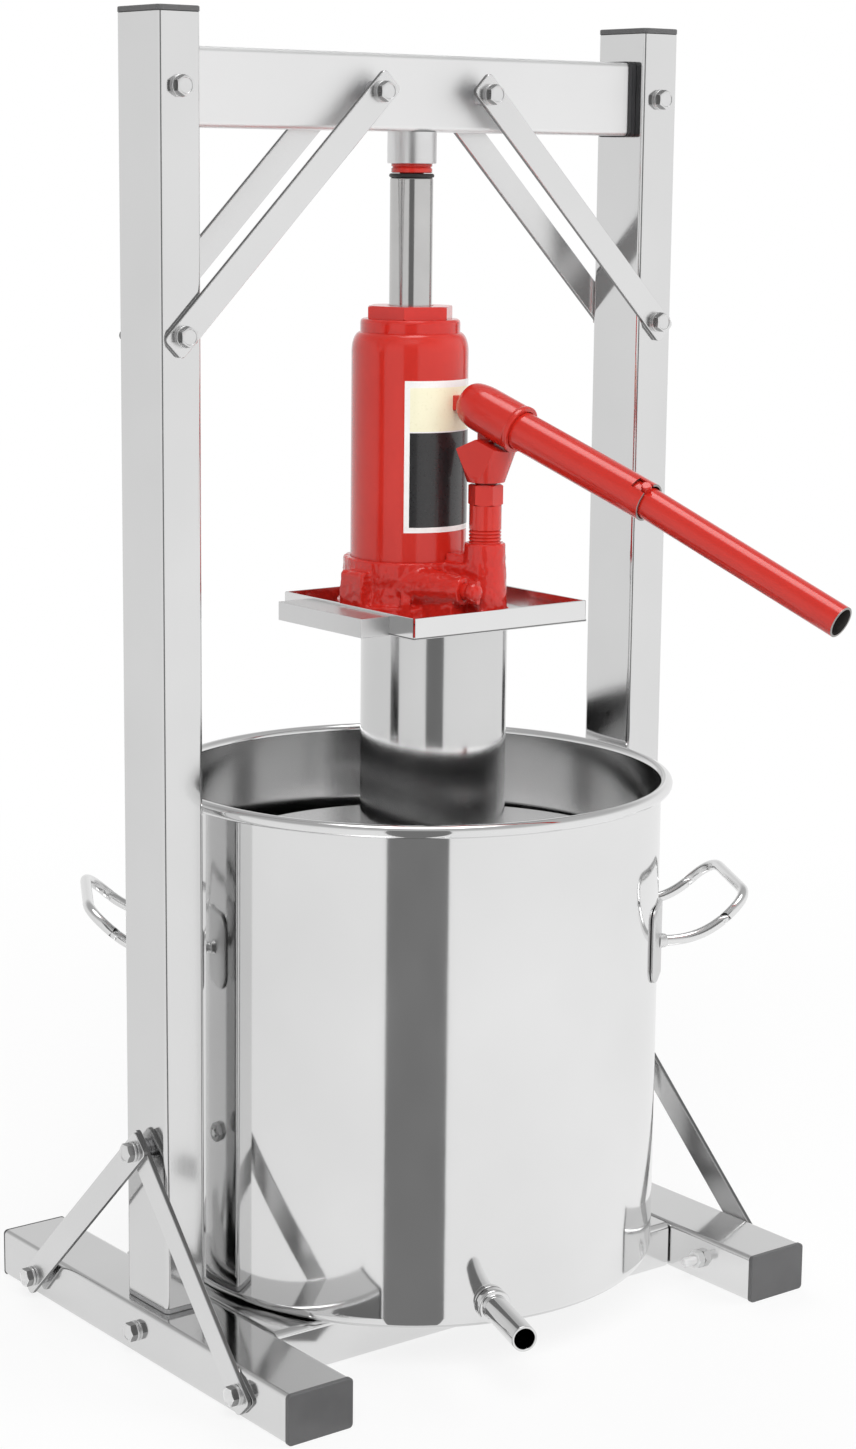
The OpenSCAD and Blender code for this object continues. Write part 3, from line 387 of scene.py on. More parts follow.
# Crossbeam: the stainless tube between the uprights against which the ram pushes. Dark plastic
# caps fill the joint at both of its ends.
# Rougher than the other stainless and toned paler though cut from the same stock: the paler tone is a
# painted highlight.
steel_beam_painted_pale = polished("stainless of the crossbeam", (6, 900, 900), 0.46, tone=0.94)
beam, middle = frame_tube("crossbeam", "X", steel_beam_painted_pale)
beam_z = middle.z
cap_dark = plastic("dark plastic", (0.02, 0.02, 0.022, 1), (0.035, 0.035, 0.037, 1))
caps = []
lip_over = 1.6
lip_depth = 2.6
for side, over in ((-1, 0.2), (1, lip_over)):
    cap = plug_cap(beam.z, beam.y, 3.2, cap_flange, rim=0.6, over=over, plug=1)
    caps.append(placed(cap, shift(beam.x / 2 * side, 0, beam_z) @ spin(90 * side, "Y")))
lip = rect_tube(beam.z + lip_over, beam.y + lip_over, lip_depth, 0.7, 3.6, 0.2)
caps.append(placed(lip, shift(beam.x / 2 - lip_depth, 0, beam_z) @ ALONG_X))
piece("crossbeam_caps", joined(*caps), cap_dark, "grey_plastic", "beam_end_caps")

# Splice bars: plain steel bars inside the ends of the crossbeam and the lower ends of the
# uprights. They give the bolts something solid to clamp and are out of sight once it is built.


def machined(name, dark, light, rough, metal=1.0):
    """Cut or drawn steel: stretched tool marks, small stains and uneven shine."""
    material, shade, where, surface = new_finish(name)
    stain = shade.noise(where, 45.0, 4.0)
    tool = shade.noise(where, (400, 400, 2600))
    shade.feed(surface, {
        "Metallic": metal,
        "Base Color": shade.mix(stain, dark, light),
        "Roughness": stain * 0.12 + tool * 0.06 + rough,
        "Normal": shade.bump(tool * 0.000004),
    })
    return material


plain_steel = machined("plain steel", (0.42, 0.42, 0.43, 1), (0.60, 0.60, 0.61, 1), 0.16)
for node in ("beam_splice_bars", "foot_splice_bars"):
    piece(node + "_cut", softened(node, 0.5), plain_steel, "plain_steel", node)

# Braces: flat stainless straps with rounded corners that stiffen the corners of the frame, four
# at the crossbeam and four at the feet. Sheared from strip, bright on the face; the cut edges are
# duller, and their dark finish is also painted shade along the edges.


def strap(start, end, across, thickness, width=16, over=10, corner=3, ease=0.35):
    """Flat strap from hole to hole; across is the direction of its thickness."""
    start = Vector(start)
    end = Vector(end)
    along = (end - start).normalized()
    out = (Vector(across) - along * along.dot(Vector(across))).normalized()
    side = out.cross(along)
    length = (end - start).length + 2 * over
    steps = [(ease, 0), (0, ease), (0, thickness - ease), (ease, thickness)]
    flat = skin(drawn_in(length, width, corner, steps), caps=True)
    axes = Matrix((along, side, out)).transposed().to_4x4()
    return placed(flat, Matrix.Translation((start + end) / 2) @ axes)


strip_steel = polished("stainless strip", (300, 300, 300), 0.24, tone=0.78)
# Dark finish for cut edges: partly a duller cut, partly painted shade along the edges.
sheared_and_shaded = machined("sheared edge", grey(0.16), grey(0.30), 0.28)
strap_t = 3
spacer_t = 3
beam_hole_x = 39
upright_hole_z = beam_z - (upright_x - beam_hole_x)
for node, facing in (("front_upper_braces", -1), ("rear_upper_braces", 1)):
    y = upright.y / 2 * facing
    pair = []
    for side in (-1, 1):
        top = (beam_hole_x * side, y, beam_z)
        pair.append(strap(top, (upright_x * side, y, upright_hole_z), (0, facing, 0), strap_t))
    obj = piece(node + "_straps", joined(*pair), strip_steel, stainless, node)
    # The straps' narrow edge faces get the dark edge finish, which is painted shade.
    second_finish(obj, sheared_and_shaded, lambda face: abs(face.normal.y) < 0.5)
lower_hole_z = 123.5
foot_hole_y = lower_hole_z - foot_z
foot_face = foot_x + foot.x / 2
lean_in = 5
for name, side in (("left", -1), ("right", 1)):
    for place, way, x in (("front", -1, foot_face), ("rear", 1, foot_face + spacer_t)):
        node = f"{name}_{place}_lower_brace"
        top = ((x - lean_in) * side, 0, lower_hole_z)
        bar = strap(top, (x * side, foot_hole_y * way, foot_z), (side, 0, 0), strap_t)
        obj = piece(node + "_strap", bar, strip_steel, stainless, node)
        second_finish(obj, sheared_and_shaded, lambda face: abs(face.normal.x) < 0.5)

# Fasteners: zinc-bright hexagon bolts with washers, nuts and spacer sleeves at every joint. The
# heads are forged with a turned chamfer, and the threads are rolled.


def hoop(radius, z, points):
    angles = [2 * math.pi * k / points for k in range(points)]
    return [(radius * math.cos(a), radius * math.sin(a), z) for a in angles]


def hexagon(flats, height, hole=0, points=48, chamfer=0.97, bore_ease=0.6):
    """Forged head or nut along Z with a turned chamfer on top, and under it if it has a hole."""
    turned_r = flats / 2 * chamfer
    sixth = math.pi / 3

    def sides(z, way, widest=flats):
        """The six flats with their chamfer, drawn in to a circle of widest."""
        ring = []
        for k in range(points):
            a = 2 * math.pi * k / points
            r = flats / 2 / math.cos((a + sixth / 2) % sixth - sixth / 2)
            drop = max(0, r - turned_r) * math.tan(math.radians(30))
            r = min(r, widest)
            ring.append((r * math.cos(a), r * math.sin(a), z + way * drop))
        return ring
    if hole:
        wide = hole + bore_ease
        rings = [sides(0, 0, turned_r), sides(0, 1), sides(height, -1), sides(height, 0, turned_r)]
        for r, z in ((wide, height), (hole, height - bore_ease), (hole, bore_ease), (wide, 0)):
            rings.append(hoop(r, z, points))
        return skin(rings, loop=True)
    rings = [sides(0, 0), sides(height, -1)]
    for r, sunk in ((turned_r, 0), (turned_r * 0.9, 0), (turned_r * 0.82, 0.35), (0.3, 0.45)):
        rings.append(hoop(r, height - sunk, points))
    return skin(rings, caps=True)


def thread_end(radius, length, pitch, points=24):
    """Rolled thread from 0 up to length with a chamfered point."""
    rings = []
    steps = int(length / pitch * 6)
    for i in range(steps + 1):
        z = length * i / steps
        ring = []
        for k in range(points):
            a = 2 * math.pi * k / points
            wave = 0.5 + 0.5 * math.cos(2 * math.pi * z / pitch - a)
            r = min(radius - 0.55 * wave, radius + 0.2 - max(0, z - length + 1.2))
            ring.append((r * math.cos(a), r * math.sin(a), z))
        rings.append(ring)
    return skin(rings, caps=True)


def turned(section, steps=96):
    """Closed section of (radius, height), up the outside and down the inside, spun about Z."""
    return skin([hoop(r, z, steps) for r, z in section], loop=True)


def ring_part(outer, inner, height, ease=0.25, points=40):
    return turned([
        (inner + ease, 0), (outer - ease, 0), (outer, ease), (outer, height - ease),
        (outer - ease, height), (inner + ease, height), (inner, height - ease), (inner, ease),
    ], points)


def new_tree(name, **inputs):
    """An empty Geometry Nodes tree and the values of its named inputs."""
    tree = bpy.data.node_groups.new(name, "GeometryNodeTree")
    for label, kind in inputs.items():
        tree.interface.new_socket(label, in_out="INPUT", socket_type="NodeSocket" + kind)
    tree.interface.new_socket("Geometry", in_out="OUTPUT", socket_type="NodeSocketGeometry")
    given = tree.nodes.new("NodeGroupInput")
    return tree, [Shade(tree, given.outputs[i]) for i in range(len(inputs))]


def close_tree(tree, shape, finish):
    put = Shade(tree)
    real = put.node("GeometryNodeRealizeInstances", None, {"Geometry": shape})
    done = put.node("GeometryNodeSetMaterial", None, {"Geometry": real, "Material": finish})
    put.feed(tree.nodes.new("NodeGroupOutput"), {"Geometry": done})


parts_tree, (spots_in, part_in, width_in, finish_in) = new_tree(
    "parts on axes", Geometry="Geometry", Part="Object", Width="Float", Finish="Material")
put = Shade(parts_tree)
axis = put.node("GeometryNodeInputNamedAttribute", {"data_type": "FLOAT_VECTOR"}, {"Name": "axis"})
reach = put.node("GeometryNodeInputNamedAttribute", {"data_type": "FLOAT"}, {"Name": "reach"})
turned_to = put.node("FunctionNodeAlignRotationToVector", {"axis": "Z"}, {"Vector": axis})
scale = put.node("ShaderNodeCombineXYZ", None, {"X": width_in, "Y": width_in, "Z": reach})
part = put.node("GeometryNodeObjectInfo", None, {"Object": part_in}, "Geometry")
copies = put.node("GeometryNodeInstanceOnPoints", None, {
    "Points": spots_in, "Instance": part, "Rotation": turned_to, "Scale": scale,
})
close_tree(parts_tree, copies, finish_in)


def plain_shape(obj):
    """What the object's modifiers make of it, as points in mm and faces; the object is removed."""
    bpy.context.view_layer.update()
    graph = bpy.context.evaluated_depsgraph_get()
    mesh = bpy.data.meshes.new_from_object(obj.evaluated_get(graph))
    shape = [tuple(1000 * v.co) for v in mesh.vertices], [tuple(f.vertices) for f in mesh.polygons]
    bpy.data.meshes.remove(mesh)
    bpy.data.objects.remove(obj)
    return shape


def baked(base, tree, values):
    """The plain shape that a Geometry Nodes tree makes of base."""
    modifier = base.modifiers.new("made", "NODES")
    modifier.node_group = tree
    for item in tree.interface.items_tree:
        if item.in_out == "INPUT" and item.name in values:
            modifier[item.identifier] = values[item.name]
    return plain_shape(base)


def spread(shape, spots, finish):
    """Copies of a part on spots of (place, axis, stretch along the axis)."""
    part = meshed("part master", shape)
    base = meshed("part spots", ([spot[0] for spot in spots], []))
    base.data.attributes.new("axis", "FLOAT_VECTOR", "POINT").data.foreach_set(
        "vector", [c for spot in spots for c in spot[1]])
    base.data.attributes.new("reach", "FLOAT", "POINT").data.foreach_set(
        "value", [spot[2] for spot in spots])
    shape = baked(base, parts_tree, {"Part": part, "Width": 1.0, "Finish": finish})
    bpy.data.objects.remove(part)
    return shape


bolt_steel = machined("bright bolt steel", grey(0.72), grey(0.86), 0.24)
zinc = machined("bright zinc", grey(0.82), grey(0.90), 0.3, metal=0.35)
forged = machined("forged sides", grey(0.26), grey(0.42), 0.2)
head_af = 10
bolt_r = 3
thread = 17
nut_h = 5
washer_r = 6
washer_hole = 3.2
washer_t = 1.6
end_plate_t = 4
head = hexagon(head_af, 4)
rod = ring_part(bolt_r - 0.1, 0.3, 1, ease=0.02, points=24)
tip = thread_end(bolt_r, thread, 1.0)
nuts = []
washers = []
spots = {group: [] for group in ("upper_brace", "beam_joint", "lower_brace", "foot_brace", "base")}


def through(group, seat, way, grip, past=3, nut_share=1, far_washer=False):
    """Adds a bolt that goes from its washer's seat through grip and past its nut."""
    seat = Vector(seat)
    way = Vector(way)
    far = seat - grip * way
    washers.append((seat, way, 1))
    if far_washer:
        washers.append((far, -way, 1))
        far = far - washer_t * way
    nuts.append((far, -way, nut_share))
    head_at = seat + washer_t * way
    spots[group].append((head_at, way, (head_at - far).length + nut_h * nut_share + past))


def bolts(node, places, finish):
    """Hex bolts at (place under the head, way the head faces, length under the head)."""
    heads = [(at, way, 1) for at, way, length in places]
    rods = [(at, -way, length - thread + 0.1) for at, way, length in places]
    tips = [(at - way * (length - thread), -way, 1) for at, way, length in places]
    shape = joined(*(spread(s, at, finish) for s, at in ((head, heads), (rod, rods), (tip, tips))))

    def on_head_side(face):
        for at, way, length in places:
            off = 1000 * face.center - at
            off -= off.dot(way) * way
            if 0.4 * head_af < off.length < 0.6 * head_af and abs(face.normal.dot(way)) < 0.3:
                return True
        return False
    second_finish(piece(node + "_made", shape, finish, "plain_steel", node), forged, on_head_side)


beam_sleeves = []
foot_sleeves = []
sleeve_h = (upright.y - beam.y) / 2
front = (0, -1, 0)
strap_seat = upright.y / 2 + strap_t
upright_face = upright_x + upright.x / 2
stack = spacer_t + 2 * strap_t
rear_stack = spacer_t + strap_t
for s in (-1, 1):
    outward = (s, 0, 0)
    for x, z in ((beam_hole_x, beam_z), (upright_x, upright_hole_z)):
        through("upper_brace", (x * s, -strap_seat, z), front, 2 * strap_seat, far_washer=True)
    seat = (upright_x * s, -upright.y / 2, beam_z)
    through("beam_joint", seat, front, upright.y, far_washer=True)
    seat = ((upright_face + stack) * s, 0, lower_hole_z)
    through("lower_brace", seat, outward, upright.x + stack, past=0.8, nut_share=0.9)
    for y, layers in ((-foot_hole_y, strap_t), (foot_hole_y, rear_stack)):
        seat = ((foot_face + layers) * s, y, foot_z)
        through("foot_brace", seat, outward, foot.x + layers, past=9)
    through("base", (foot_face * s, 0, foot_z), outward, foot.x + end_plate_t)
    for way in (-1, 1):
        beam_sleeves.append(((beam_hole_x * s, beam.y / 2 * way, beam_z), (0, way, 0), 1))
    foot_sleeves.append(((upright_face * s, 0, lower_hole_z), outward, spacer_t / sleeve_h))
    foot_sleeves.append(((foot_face * s, foot_hole_y, foot_z), outward, spacer_t / sleeve_h))
for group, there in spots.items():
    bolts(group + "_bolts", there, zinc if group == "foot_brace" else bolt_steel)
nut = hexagon(head_af, nut_h, 2.75)
washer = ring_part(washer_r, washer_hole, washer_t)
sleeve = ring_part(washer_r, washer_hole, sleeve_h, ease=0.4)
for name, node, shape, there, finish in (
    ("hex_nuts", "hex_nuts", nut, nuts, zinc),
    ("washers", "flat_washers", washer, washers, bolt_steel),
    ("beam_sleeves", "beam_brace_sleeves", sleeve, beam_sleeves, plain_steel),
    ("foot_sleeves", "lower_brace_sleeves", sleeve, foot_sleeves, plain_steel),
):
    piece(name + "_made", spread(shape, there, finish), finish, "plain_steel", node)

# Thrust cup and ram: the cup is welded under the crossbeam and holds the red grooved head of the
# extension screw. The screw sits in the chromed ram, which ends in a piston with a rubber seal.


def curve(a, here, b, steps):
    """Points from a to b on a curve that is drawn towards here."""
    shares = [k / steps for k in range(steps + 1)]
    return [a * (1 - t) ** 2 + here * 2 * t * (1 - t) + b * t ** 2 for t in shares]


def eased(corners, steps=5):
    """Closed outline of (x, y, ease): each corner becomes a curve of that size."""
    outline = []
    for i, (x, y, ease) in enumerate(corners):
        here = Vector((x, y))
        before = Vector(corners[i - 1][:2])
        after = Vector(corners[(i + 1) % len(corners)][:2])
        if ease == 0:
            outline.append((x, y))
            continue
        a = here + (before - here).normalized() * min(ease, (before - here).length * 0.48)
        b = here + (after - here).normalized() * min(ease, (after - here).length * 0.48)
        outline += [tuple(p) for p in curve(a, here, b, steps)]
    return outline


def grooves(radius, root, half, ease, places):
    """Corners of the grooves that are turned into a bar at the heights in places."""
    corners = []
    for z in places:
        corners += [(radius, z - half, ease), (root, z, ease), (radius, z + half, ease)]
    return corners


def refinish(node, finish):
    """A CAD node that keeps its own shape gets its finish."""
    materials = frame["nodes"][node].data.materials
    materials.clear()
    materials.append(finish)


def enamel(name, deep, bright, grit, gloss):
    """Sprayed red enamel: slight orange peel, or the grain of the casting under it."""
    material, shade, where, surface = new_finish(name)
    peel = shade.noise(where, 240.0, 1.0)
    sand = shade.noise(where, 900.0, 5.0)
    pool = shade.noise(where, 30.0, 3.0)
    shade.feed(surface, {
        "Base Color": shade.mix(pool, deep, bright),
        "Roughness": pool * 0.10 + sand * 0.06 + gloss,
        "Specular IOR Level": 0.3,
        "Coat Weight": pool * 0.2 + 0.45,
        "Coat Roughness": 0.06,
        "Normal": shade.bump(peel * 0.000002 + sand * grit),
    })
    return material


red = enamel("red enamel", (0.55, 0.020, 0.012, 1), (0.63, 0.028, 0.017, 1), 0.0, 0.13)
chrome = machined("ram chrome", (0.50, 0.495, 0.49, 1), (0.64, 0.635, 0.63, 1), 0.04)
rubber = plastic("black rubber", grey(0.010), grey(0.020))
beam_under = beam_z - beam.z / 2
cup_r = 14.2
cup_bore = 12.3
cup_low = 681.5
cup_roof = 694.6
cup = eased([
    (0, cup_roof, 0), (cup_bore, cup_roof, 0.5), (cup_bore, cup_low, 0.6),
    (cup_r, cup_low, 0.6), (cup_r, beam_under, 0), (0, beam_under, 0),
])
piece("thrust_cup_turned", turned(cup), bolt_steel, stainless, "thrust_cup")
screw_r = 7
screw_low = 611.5
screw_pitch = 2
head_r = 11.9
head_low = 676.2
head_top = 694.5
outline = [(0, screw_low, 0), (6.2, screw_low, 0), (screw_r, screw_low + 1.5, 0)]
for i in range(31):
    z = screw_low + 2.5 + screw_pitch * i
    outline += [(screw_r, z, 0), (screw_r - 0.7, z + 0.9, 0)]
outline += [(screw_r, head_low, 0), (head_r, head_low, 0.8)]
outline += grooves(head_r, 11.0, 0.6, 0.3, (679.4, 682.4, 685.4, 688.4))
outline += [(head_r, head_top, 1.6), (0, head_top, 0)]
piece("ram_screw_turned", turned(eased(outline, 3)), red, "red_enamel", "ram_screw")
ring = arc(11.9, 674.7, 1.2, 1.2, 0, 337.5, 15)
piece("ram_ring_moulded", turned(ring), rubber, "black_rubber", "ram_ring")
ram_r = 12.5
ram_low = 530.5
ram_top = 673.5
ram_bore = 7.1
bore_floor = 610.5
ram = eased([
    (0, ram_low, 0), (ram_r, ram_low, 0.5), (ram_r, ram_top, 1.2),
    (ram_bore, ram_top, 0.6), (ram_bore, bore_floor, 0), (0, bore_floor, 0),
])
piece("ram_ground", turned(ram), chrome, "ram_chrome", "ram")
refinish("ram_piston", plain_steel)
refinish("piston_seal", rubber)

# Jack base: an iron casting painted red, with a round hub for the reservoir, ribs, a lug on one
# side and a nose with the pump's boss. Its faces keep the grain and soft edges of the sand mould.


def carved(shape, tool):
    """A closed shape with the form of a closed tool cut out of it."""
    first = meshed("carved", shape)
    second = meshed("tool", tool)
    step = first.modifiers.new("step", "BOOLEAN")
    step.operation = "DIFFERENCE"
    step.solver = "EXACT"
    step.object = second
    result = plain_shape(first)
    bpy.data.objects.remove(second)
    return result


def cast(shape, grain, soften, grit, sand_size):
    """Overlapping closed shapes fused into one casting with soft edges and a sandy skin."""
    base = meshed("casting", shape)
    fuse = base.modifiers.new("fuse", "REMESH")
    fuse.mode = "VOXEL"
    fuse.voxel_size = grain / 1000
    smooth = base.modifiers.new("soften", "SMOOTH")
    smooth.factor = 0.5
    smooth.iterations = soften
    sand = bpy.data.textures.new("sand skin", "CLOUDS")
    sand.noise_scale = sand_size / 1000
    sand.noise_depth = 2
    rough = base.modifiers.new("sand", "DISPLACE")
    rough.texture = sand
    rough.texture_coords = "LOCAL"
    rough.strength = grit / 1000
    return plain_shape(base)


def oblong(x0, x1, y0, y1):
    return [(x0, y0), (x1, y0), (x1, y1), (x0, y1)]


def block(outline, low, high, taper=0.0):
    """Prism on a closed outline, its top drawn in towards the middle by taper."""
    middle = sum((Vector(p) for p in outline), Vector((0, 0))) / len(outline)
    top = [tuple(middle + (Vector(p) - middle) * (1 - taper)) for p in outline]
    return skin([lifted(outline, low), lifted(top, high)], caps=True)


def flipped(shape):
    return shape[0], [face[::-1] for face in shape[1]]


def slab(outline, low, high):
    """Plate on an outline of (x, z), from low to high in y."""
    return flipped(skin([[(x, y, z) for x, z in outline] for y in (low, high)], caps=True))


def round_bar(radius, low, high, top=None, steps=64):
    return turned([(0, low), (radius, low), (radius if top is None else top, high), (0, high)], steps)


JACK = shift(0, 0, 419) @ spin(-75, "Z")
PUMP = shift(56.24, 0, 0)
valve_y = -21
valve_z = 21
plinth_h = 9.4
hub_h = 35
hub = [(0, 0), (39.8, 0), (37.4, 20), (38.6, 26), (38.2, hub_h), (0, hub_h)]
lumps = [
    round_bar(43, 0, plinth_h, 42, 96),
    turned(hub),
    block(oblong(0, 65, -13, 13), 0, plinth_h),
    block(oblong(0, 62.5, -12.8, 12.8), 5, hub_h, 0.05),
    placed(round_bar(13.4, 8, 47.4, 11.8), PUMP),
    block(oblong(33, 56, -9, 9), 20, 40, 0.08),
    placed(round_bar(14, 10, 57.8, 8.2), shift(0, valve_y, valve_z) @ ALONG_X),
    block(oblong(0, 54, -28, -8), 0, 19, 0.04),
]
rib = [(30, 0), (43, 0), (43, 12), (38.5, 22), (30, 24)]
for turn in (-54, 54):
    lumps.append(placed(slab(rib, -3, 3), spin(turn, "Z")))
lug = [(28, 0), (45.4, 0), (44.6, 27), (42.6, 29), (28, 29)]
lumps.append(placed(slab(lug, -10, 9), spin(-100, "Z")))
casting = cast(joined(*lumps), grain=0.8, soften=4, grit=0.9, sand_size=4.0)
pump_seat = [(0, 12), (6.1, 12), (6.1, 23.6), (9.6, 23.6), (9.6, 60), (0, 60)]
for hole in (
    round_bar(34.4, 27, 60, steps=128),
    round_bar(19.1, 21, 40),
    placed(turned(pump_seat, 64), PUMP),
    placed(round_bar(5.1, 0, 30, steps=48), shift(46, valve_y, valve_z) @ ALONG_X),
):
    casting = carved(casting, hole)
red_cast = enamel("red cast iron", (0.54, 0.017, 0.011, 1), (0.64, 0.024, 0.015, 1), 0.00003, 0.10)
piece("jack_base_casting", placed(casting, JACK), red_cast, "red_enamel", "jack_base", sharp=50)

# Reservoir: the jack's round steel body, spun with a rounded shoulder at the top. A printed
# two-colour sticker goes round its front, and a hexagon nut closes the top.
body_r = 34.2
body_bore = 31.7
body_low = 446
shoulder = 574
shell = [(body_bore, body_low), (body_r - 0.3, body_low), (body_r, body_low + 0.4), (body_r, shoulder)]
shell += arc(28.9, shoulder, 5.3, 11.3, 9, 90, 9)
shell += [(28.9, shoulder + 10), (body_bore, shoulder)]
piece("reservoir_spun", turned(shell, 160), red, "red_enamel", "reservoir_tube")


def printed(name):
    """Paper sticker under varnish: pale edge, cream field above and black field below, by UV."""
    material, shade, where, surface = new_finish(name)
    uv = shade.node("ShaderNodeTexCoord", output="UV")
    u = shade.node("ShaderNodeSeparateXYZ", None, {"Vector": uv}, "X")
    v = u.other("Y")
    across = (u > 0.045) * (u < 0.955)
    cream = across * (v > 0.668) * (v < 0.955)
    black = across * (v > 0.035) * (v < 0.66)
    fibre = shade.noise(where, 700.0, 3.0)
    paper = shade.mix(fibre, (0.90, 0.895, 0.88, 1), (0.96, 0.955, 0.94, 1))
    ink = shade.mix(fibre, (0.92, 0.89, 0.64, 1), (0.96, 0.93, 0.70, 1))
    dark = shade.mix(fibre, (0.010, 0.010, 0.011, 1), (0.024, 0.024, 0.025, 1))
    shade.feed(surface, {
        "Base Color": shade.mix(black, shade.mix(cream, paper, ink), dark),
        "Roughness": fibre * 0.15 + 0.22,
        "Coat Weight": fibre * 0.2 + 0.3,
        "Normal": shade.bump(fibre * 0.000006),
    })
    return material


label_low = 471.2
label_high = 558.9
label_start = -132
label_span = 115
label_in = 34.1
label_out = 34.34
strips = []
for i in range(61):
    a = math.radians(label_start + label_span * i / 60)
    edge = oblong(label_in, label_out, label_low, label_high)
    strips.append([(r * math.cos(a), r * math.sin(a), z) for r, z in edge])
label = piece("body_sticker", skin(strips, caps=True), printed("sticker print"), "red_enamel", body="jack")
layer = label.data.uv_layers.new(name="print")
for loop in label.data.loops:
    at = label.data.vertices[loop.vertex_index].co
    turn = math.degrees(math.atan2(at.y, at.x))
    height = (at.z * 1000 - label_low) / (label_high - label_low)
    layer.data[loop.index].uv = ((turn - label_start) / label_span, height)
refinish("pressure_cylinder", plain_steel)
nut_bore = 13.2
collar_r = 29.2
collar_low = 570
collar_top = 593
collar = eased([
    (nut_bore, collar_low, 0), (collar_r - 0.6, collar_low, 0), (collar_r, 585.4, 0),
    (collar_r, collar_top, 2.6), (nut_bore, collar_top, 0),
])
hexed = placed(hexagon(46, 7.9, nut_bore, 96, 1.09), shift(0, 0, collar_top - 0.5) @ spin(15, "Z"))
piece("top_nut_forged", joined(turned(collar), hexed), red_cast, "red_enamel", "top_nut")
piece("filler_plug_moulded", softened("filler_plug", 0.5), rubber, "black_rubber", "filler_plug")

# Pump: a steel lug on the body carries the lever's pin; the pump barrel is screwed into its boss
# and its plunger ends in a forged yoke that the lever socket works up and down.
piece("fulcrum_lug_cut", softened("fulcrum_lug", 0.6), red, "red_enamel", "fulcrum_lug")
for node in ("fulcrum_pin", "plunger_pin"):
    piece(node + "_turned", softened(node, 0.4), red, "plain_steel", node)
refinish("check_balls", chrome)
pump_r = 9.4
pump_bore = 6.1
pump_low = 23.8
pump_top = 69.2
outline = [(pump_bore, pump_low, 0), (pump_r, pump_low, 0.4)]
outline += grooves(pump_r, 8.7, 0.55, 0, (48.6, 50.6, 52.6, 54.6))
outline += [(pump_r, pump_top, 0), (pump_bore, pump_top, 0)]
hex_part = placed(hexagon(17.6, 12.5, pump_bore + 0.05), shift(0, 0, pump_top - 0.2))
pump = joined(turned(eased(outline, 3), 64), hex_part)
piece("pump_barrel_turned", placed(pump, JACK @ PUMP), red, "red_enamel", "pump_barrel")
piece("pump_plunger_forged", softened("pump_plunger", 0.7, lowest=30), red, "red_enamel", "pump_plunger")

# Lever: a steel socket that swings on the fulcrum pin, a tube that plugs into it and a thinner
# extension that slides in the tube's end, kept by a nub in a notch. All sprayed red, cut ends bare.
LEVER = JACK @ shift(47, 0, 127) @ spin(21.5, "Y")
socket_r = 13.7
socket_bore = 11.4
socket_floor = 21.5
mouth_r = 14.2
mouth = 36.5
outline = eased([
    (0, -6, 0), (11, -6, 5), (socket_r, 4, 6), (socket_r, 33, 0.8), (mouth_r, 34, 0.6),
    (mouth_r, mouth, 0.8), (socket_bore, mouth, 0.6), (socket_bore, socket_floor, 0), (0, socket_floor, 0),
])
slit = block(oblong(-12, 21, -3.8, 3.8), -20, 9)
socket = carved(placed(turned(outline, 72), ALONG_X), slit)
piece("lever_socket_forged", placed(socket, LEVER), red, "red_enamel", "lever_socket")


def pipe(outer, inner, low, high):
    section = eased([(inner, low, 0.3), (outer, low, 0.4), (outer, high, 0.4), (inner, high, 0.3)], 3)
    return turned(section, 72)


bare = machined("bare cut steel", (0.30, 0.29, 0.28, 1), (0.46, 0.44, 0.43, 1), 0.34)


def bare_ends(obj, there, inner, low, high):
    """Cut faces and the inside of a painted pipe show bare steel."""
    back = there.inverted()

    def is_bare(face):
        at = back @ (face.center * 1000)
        return math.hypot(at.x, at.y) < inner or at.z < low or at.z > high
    second_finish(obj, bare, is_bare)


TUBE = LEVER @ ALONG_X
aside = 32
tube_bore = 9.9
tube_low = 21.8
tube_end = 130.8
notch = spin(aside, "Z") @ shift(-11, 0, tube_end)
cut = placed(block(round_rect(12, 8, 1.2, 4), -9.5, 4), notch)
tube = carved(pipe(11.2, tube_bore, tube_low, tube_end), cut)
obj = piece("lever_tube_drawn", placed(tube, TUBE), red, "red_enamel", "lever_tube")
bare_ends(obj, TUBE, tube_bore + 0.4, tube_low + 0.5, tube_end - 0.5)
DROOP = LEVER @ shift(120.8, 0, 0) @ spin(2.1, "Y")
thin_bore = 7.8
thin_low = -10
thin_end = 145
thin = placed(pipe(9.1, thin_bore, thin_low, thin_end), DROOP @ ALONG_X)
obj = piece("lever_extension_drawn", thin, red, "red_enamel", "lever_extension")
bare_ends(obj, DROOP @ ALONG_X, thin_bore + 0.3, thin_low + 0.4, thin_end - 0.4)
turned_aside = DROOP @ spin(aside, "X") @ DROOP.inverted()
piece("catch_nub", placed(softened("catch_pin", 0.6), turned_aside), red, "red_enamel", "catch_pin")

# Release valve: a screw with a ball-shaped head and two cast wings, turned by hand. Closed for
# pumping, opened to let the oil flow back so that the ram sinks.
VALVE = JACK @ shift(58, valve_y, valve_z) @ ALONG_X
ball = [(0, 1.9)] + arc(0, 6, 5.9, 5, -60, 90, 12) + [(0, 11)]
wings = block(round_rect(13.8, 3.4, 1.4, 4), 3.2, 9.6)
stem = round_bar(4.9, -10.8, 5, steps=40)
knob = cast(joined(turned(ball, 40), wings, stem), grain=0.4, soften=3, grit=0.12, sand_size=2.0)
piece("release_valve_cast", placed(knob, VALVE), red_cast, "red_enamel", "release_valve", sharp=50)

